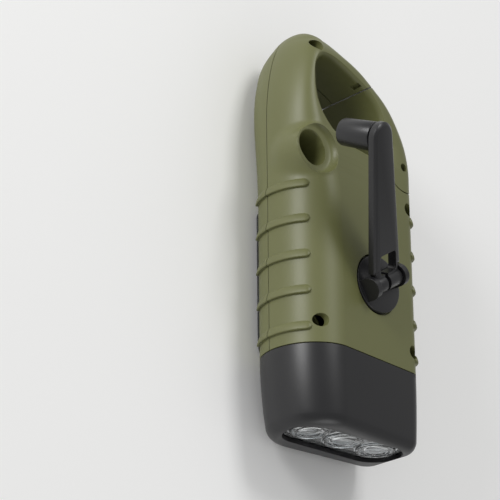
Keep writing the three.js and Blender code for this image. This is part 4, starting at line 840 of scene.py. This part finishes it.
def build_knob():
    radius, bore = mm("crank", "knob_radius"), 2.4
    top = -mm("crank", "arm_thickness") / 2 - KNOB_PLAY
    tip = top - mm("crank", "knob_length")
    shoulder = top - POST - 0.3
    skin = shoulder - 1
    end = radius - 0.3
    profile = [(bore, tip + 0.3), (bore + 0.3, tip), (end - 0.9, tip), (end - 0.27, tip + 0.27),
               (end, tip + 0.9), (radius, top - 0.45), (radius - 0.13, top - 0.13), (radius - 0.45, top),
               (2.3, top), (2.3, shoulder), (1.05, shoulder), (1.05, skin), (bore, skin)]
    place = ARM_PLACE @ Matrix.Translation((0, mm("crank", "reach"), 0))
    finished(moved(turned("knob", profile, 96), place), "grip_knob", black_nylon(), "crank_knob",
             ["crank_knob"])


# Button

def build_button():
    flange, proud = 0.8, 1.2
    face = mm("case", "wall") + flange + 0.3 + proud
    profile = [(0, 0), (3.4, 0), (3.4, flange), (2.5, flange), (2.5, face - proud), (2.4, face - 0.75),
               (2.1, face - 0.35), (1.5, face - 0.08), (0.8, face), (0, face)]
    x = Hull().half_w - BUTTON_SINK
    finished(along_x(turned("button", profile, 48), x, BUTTON_Y, BUTTON_Z), "rubber_button",
             silicone_rubber(), "switch_button", ["push_button"])


# Materials

def add(material, kind, values=None, **links):
    """Adds a node, sets its values and joins its inputs to the outputs given by name."""
    tree = material.node_tree
    node = tree.nodes.new("ShaderNode" + kind)
    for key, value in (values or {}).items():
        if key in node.inputs:
            node.inputs[key].default_value = value
        else:
            setattr(node, key, value)
    for key, output in links.items():
        tree.links.new(output, node.inputs[key.replace("_", " ")])
    return node


def blank(name, **sockets):
    """A material with one surface shader and the object's own coordinates."""
    found = bpy.data.materials.get(name)
    if found:
        return found, None, None
    material = bpy.data.materials.new(name)
    material.use_nodes = True
    shader = material.node_tree.nodes["Principled BSDF"]
    for key, value in sockets.items():
        shader.inputs[key.replace("_", " ")].default_value = value
    place = add(material, "TexCoord").outputs["Object"]
    return material, shader, place


def grained(name, tone, spread, pebble, depth, roughness, wander, edge=0.25, **sockets):
    """A grain: colour and gloss that wander a little, pebbles and softened edges."""
    material, shader, place = blank(name, **sockets)
    if not shader:
        return material
    tree = material.node_tree
    cloud = add(material, "TexNoise", {"Scale": 1 / (11 * MM), "Detail": 3.0}, Vector=place)
    tint = add(material, "Mix", {"data_type": "RGBA"})
    low, high = [tuple(c * k for c in tone[:3]) + (1,) for k in (1 - spread, 1 + spread)]
    tint.inputs[6].default_value, tint.inputs[7].default_value = low, high
    tree.links.new(cloud.outputs["Fac"], tint.inputs[0])
    tree.links.new(tint.outputs[2], shader.inputs["Base Color"])
    gloss = add(material, "MapRange", {"To Min": roughness - wander, "To Max": roughness + wander},
                Value=cloud.outputs["Fac"])
    tree.links.new(gloss.outputs["Result"], shader.inputs["Roughness"])
    pebbles = add(material, "TexVoronoi", {"Scale": 1 / (pebble * MM), "feature": "SMOOTH_F1"},
                  Vector=place)
    soft = add(material, "Bevel", {"Radius": edge * MM, "samples": 4})
    bump = add(material, "Bump", {"Strength": depth, "Distance": 0.05 * MM},
               Height=pebbles.outputs["Distance"], Normal=soft.outputs["Normal"])
    tree.links.new(bump.outputs["Normal"], shader.inputs["Normal"])
    return material


def wandering(material, place, socket, noise, low, high):
    """Gives a socket a colour that wanders between two."""
    cloud = add(material, "TexNoise", noise, Vector=place)
    tint = add(material, "ValToRGB", Fac=cloud.outputs["Fac"])
    tint.color_ramp.elements[0].color = low
    tint.color_ramp.elements[1].color = high
    material.node_tree.links.new(tint.outputs["Color"], socket)


def moulded_abs():
    """Olive ABS from a spark eroded mould: satin, with a fine pebble."""
    return grained("moulded olive ABS", settings("case").shell_colour, spread=0.04, pebble=0.5, depth=0.12,
                   roughness=0.44, wander=0.03, IOR=1.53)


def black_abs():
    """Black ABS of the head: satin, a little smoother than the case."""
    return grained("moulded black ABS", settings("case").black_colour, spread=0.08, pebble=0.5, depth=0.08,
                   roughness=0.36, wander=0.04, IOR=1.53)


def black_nylon():
    """Glass filled nylon of the crank, its gloss uneven from the fibres."""
    return grained("moulded black nylon", settings("crank").crank_colour, spread=0.1, pebble=0.4, depth=0.12,
                   roughness=0.36, wander=0.05, IOR=1.53)


def silicone_rubber():
    """Moulded silicone: dull and dark."""
    return grained("moulded silicone rubber", linear("#161616"), spread=0.1, pebble=0.3, depth=0.1,
                   roughness=0.7, wander=0.04, IOR=1.43)


def plated_steel():
    """Zinc plated steel: turned rings, drawn as a soft noise in the gloss."""
    return grained("zinc plated steel", linear("#BFC1C4"), spread=0.05, pebble=0.3, depth=0.05,
                   roughness=0.28, wander=0.06, edge=0.15, Metallic=1.0)


def vacuum_chrome():
    """Aluminium flashed on a moulded reflector: bright, with the ripple of the plastic."""
    return grained("vacuum metallised reflector", settings("head").chrome_colour, spread=0.02, pebble=1.2,
                   depth=0.2, roughness=0.08, wander=0.03, edge=0.1, Metallic=1.0)


def clear_polycarbonate():
    """Injection moulded polycarbonate: clear and slightly wavy."""
    material, shader, place = blank("clear polycarbonate", IOR=1.585, Roughness=0.03)
    if shader:
        shader.inputs["Transmission Weight"].default_value = 1.0
        shader.inputs["Base Color"].default_value = linear("#F7FAFB")
        wave = add(material, "TexNoise", {"Scale": 1 / (6 * MM), "Detail": 1.0}, Vector=place)
        bump = add(material, "Bump", {"Strength": 0.05, "Distance": 0.1 * MM},
                   Height=wave.outputs["Fac"])
        material.node_tree.links.new(bump.outputs["Normal"], shader.inputs["Normal"])
    return material


def lamp_epoxy():
    """Cast epoxy dome of a lamp: clear with a pale core."""
    material, shader, place = blank("cast lamp epoxy", IOR=1.5, Roughness=0.08)
    if shader:
        shader.inputs["Transmission Weight"].default_value = 0.75
        wandering(material, place, shader.inputs["Base Color"], {"Scale": 1 / (2 * MM)},
                  linear("#E8E6DA"), linear("#FAFAF5"))
    return material


def solar_silicon():
    """Thin silicon under resin: copper brown, with hair lines between the strips."""
    material, shader, place = blank("resin coated solar silicon", IOR=1.5)
    if shader:
        tree = material.node_tree
        strips, hair = 9, 0.09
        line = add(material, "SeparateXYZ", Vector=place).outputs["Y"]
        for operation, value in (("DIVIDE", mm("solar", "cell_height") / strips * MM), ("FRACT", 0),
                                 ("LESS_THAN", hair)):
            node = add(material, "Math", {"operation": operation})
            tree.links.new(line, node.inputs[0])
            node.inputs[1].default_value = value
            line = node.outputs[0]
        colour = add(material, "Mix", {"data_type": "RGBA"})
        wandering(material, place, colour.inputs[6], {"Scale": 1 / (7 * MM), "Detail": 2.0},
                  settings("solar").cell_colour, linear("#94704C"))
        tree.links.new(line, colour.inputs[0])
        colour.inputs[7].default_value = linear("#D8BE98")
        tree.links.new(colour.outputs[2], shader.inputs["Base Color"])
        shader.inputs["Roughness"].default_value = 0.22
        shader.inputs["Metallic"].default_value = 0.25
    return material


def build_inside():
    """Gives the nodes inside the case a finish by their material slot."""
    finishes = {}
    for slot, name, tone, rough, metal in (
        ("gear", "moulded acetal", "#E7E3D6", 0.45, 0.0),
        ("board", "solder masked board", "#2F6B3C", 0.4, 0.0),
        ("magnet", "sintered ferrite", "#4A4A4D", 0.55, 0.3),
        ("copper", "enamelled copper wire", "#B06A36", 0.35, 1.0),
        ("black", "moulded inner ABS", "#252526", 0.5, 0.0),
        ("rubber", "cut rubber sheet", "#1B1B1B", 0.75, 0.0),
        ("steel", "rolled steel", "#B4B6B9", 0.3, 1.0),
    ):
        finishes[slot] = grained(name, linear(tone), spread=0.06, pebble=0.4, depth=0.1, roughness=rough,
                                 wander=0.04, Metallic=metal)
    slots = {part["node"]: part["material_slot"] for part in frame["record"]["subparts"]}
    for name, node in frame["nodes"].items():
        if node.hide_render:
            continue
        node.data.materials.clear()
        node.data.materials.append(finishes[slots[name]])


# Stage

def build_stage():
    """Pale floor, soft lights and the camera of the photograph."""
    reach = 4000
    corners = [(-reach, -reach, 0), (reach, -reach, 0), (reach, reach, 0), (-reach, reach, 0)]
    floor = mesh_object("floor", corners, [(0, 1, 2, 3)])
    floor.data.transform(Matrix.Scale(MM, 4))
    material, shader, place = blank("painted floor", Roughness=0.9)
    wandering(material, place, shader.inputs["Base Color"], {"Scale": 6.0},
              settings("stage").floor_colour, linear("#FDFDFC"))
    floor.data.materials.append(material)
    world = bpy.data.worlds.new("studio")
    world.use_nodes = True
    inputs = world.node_tree.nodes["Background"].inputs
    inputs["Color"].default_value, inputs["Strength"].default_value = (1, 1, 1, 1), 0.42
    scene = bpy.context.scene
    scene.world = world
    camera = bpy.data.cameras.new("camera")
    camera.lens = settings("stage").focal_length
    camera.sensor_width = 36
    camera.clip_start = 0.01
    eye = linked("camera", camera)
    right = Vector((0.72942, -0.00778, 0.68402))
    up = Vector((-0.25584, 0.92427, 0.28332))
    ahead = Vector((0.63443, 0.38166, -0.67219))
    turn = Matrix((right, up, -ahead)).transposed()
    eye.matrix_world = Matrix.Translation(Vector((-479.7, -279.8, 486.2)) * MM) @ turn.to_4x4()
    scene.camera = eye
    for name, place, energy, size in (
        ("key", (-0.95, 0.42, 0.3), 5.5, 0.35),
        ("fill", (0.1, -1.0, 0.25), 1.6, 0.5),
        ("top", (0.1, 0.8, 1.2), 6.5, 0.5),
    ):
        lamp = bpy.data.lights.new(name, "AREA")
        lamp.energy, lamp.size = energy, size
        obj = linked(name, lamp)
        obj.location = place
        obj.rotation_mode = "QUATERNION"
        obj.rotation_quaternion = (-Vector(place)).to_track_quat("-Z", "Y")
    scene.view_settings.view_transform = "Standard"


class FLASHLIGHT_OT_case(Operator):
    """Build both shells, the gate and its rivet"""
    bl_idname = "flashlight.case"
    bl_label = "Case"

    def execute(self, context):
        build_case()
        return {"FINISHED"}


class FLASHLIGHT_OT_head(Operator):
    """Build the head, its window, the reflector and the lamps"""
    bl_idname = "flashlight.head"
    bl_label = "Head"

    def execute(self, context):
        build_head()
        return {"FINISHED"}


class FLASHLIGHT_OT_solar(Operator):
    """Build the solar cell and its frame"""
    bl_idname = "flashlight.solar"
    bl_label = "Solar cell"

    def execute(self, context):
        build_solar()
        return {"FINISHED"}


class FLASHLIGHT_OT_crank(Operator):
    """Build the hub, the arm, the hinge pin and the knob"""
    bl_idname = "flashlight.crank"
    bl_label = "Crank"

    def execute(self, context):
        build_hub()
        build_arm()
        build_knob()
        return {"FINISHED"}


class FLASHLIGHT_OT_button(Operator):
    """Build the rubber button"""
    bl_idname = "flashlight.button"
    bl_label = "Button"

    def execute(self, context):
        build_button()
        return {"FINISHED"}


class FLASHLIGHT_OT_inside(Operator):
    """Give the inner pieces their materials"""
    bl_idname = "flashlight.inside"
    bl_label = "Inner pieces"

    def execute(self, context):
        build_inside()
        return {"FINISHED"}


class FLASHLIGHT_OT_stage(Operator):
    """Build the floor, the lights and the camera"""
    bl_idname = "flashlight.stage"
    bl_label = "Stage"

    def execute(self, context):
        build_stage()
        return {"FINISHED"}


OPERATORS = (FLASHLIGHT_OT_case, FLASHLIGHT_OT_head, FLASHLIGHT_OT_solar, FLASHLIGHT_OT_crank,
             FLASHLIGHT_OT_button, FLASHLIGHT_OT_inside, FLASHLIGHT_OT_stage)
GROUPS = {"case": CaseSettings, "head": HeadSettings, "crank": CrankSettings,
          "solar": SolarSettings, "stage": StageSettings}


class FLASHLIGHT_PT_panel(Panel):
    """Lists the builders and their sizes"""
    bl_idname = "FLASHLIGHT_PT_panel"
    bl_label = "Hand Crank Flashlight"
    bl_space_type = "VIEW_3D"
    bl_region_type = "UI"
    bl_category = "Flashlight"

    def draw(self, context):
        for operator in OPERATORS:
            self.layout.operator(operator.bl_idname)
        for name, group in GROUPS.items():
            box = self.layout.box()
            for key in group.__annotations__:
                box.prop(getattr(context.scene, "flashlight_" + name), key)


def register():
    for cls in (*GROUPS.values(), *OPERATORS, FLASHLIGHT_PT_panel):
        bpy.utils.register_class(cls)
    for name, group in GROUPS.items():
        setattr(bpy.types.Scene, "flashlight_" + name, PointerProperty(type=group))


def unregister():
    for name in GROUPS:
        delattr(bpy.types.Scene, "flashlight_" + name)
    for cls in reversed((*GROUPS.values(), *OPERATORS, FLASHLIGHT_PT_panel)):
        bpy.utils.unregister_class(cls)


def main():
    register()
    for operator in OPERATORS:
        getattr(bpy.ops.flashlight, operator.bl_idname.split(".")[1])()


if __name__ == "__main__":
    main()
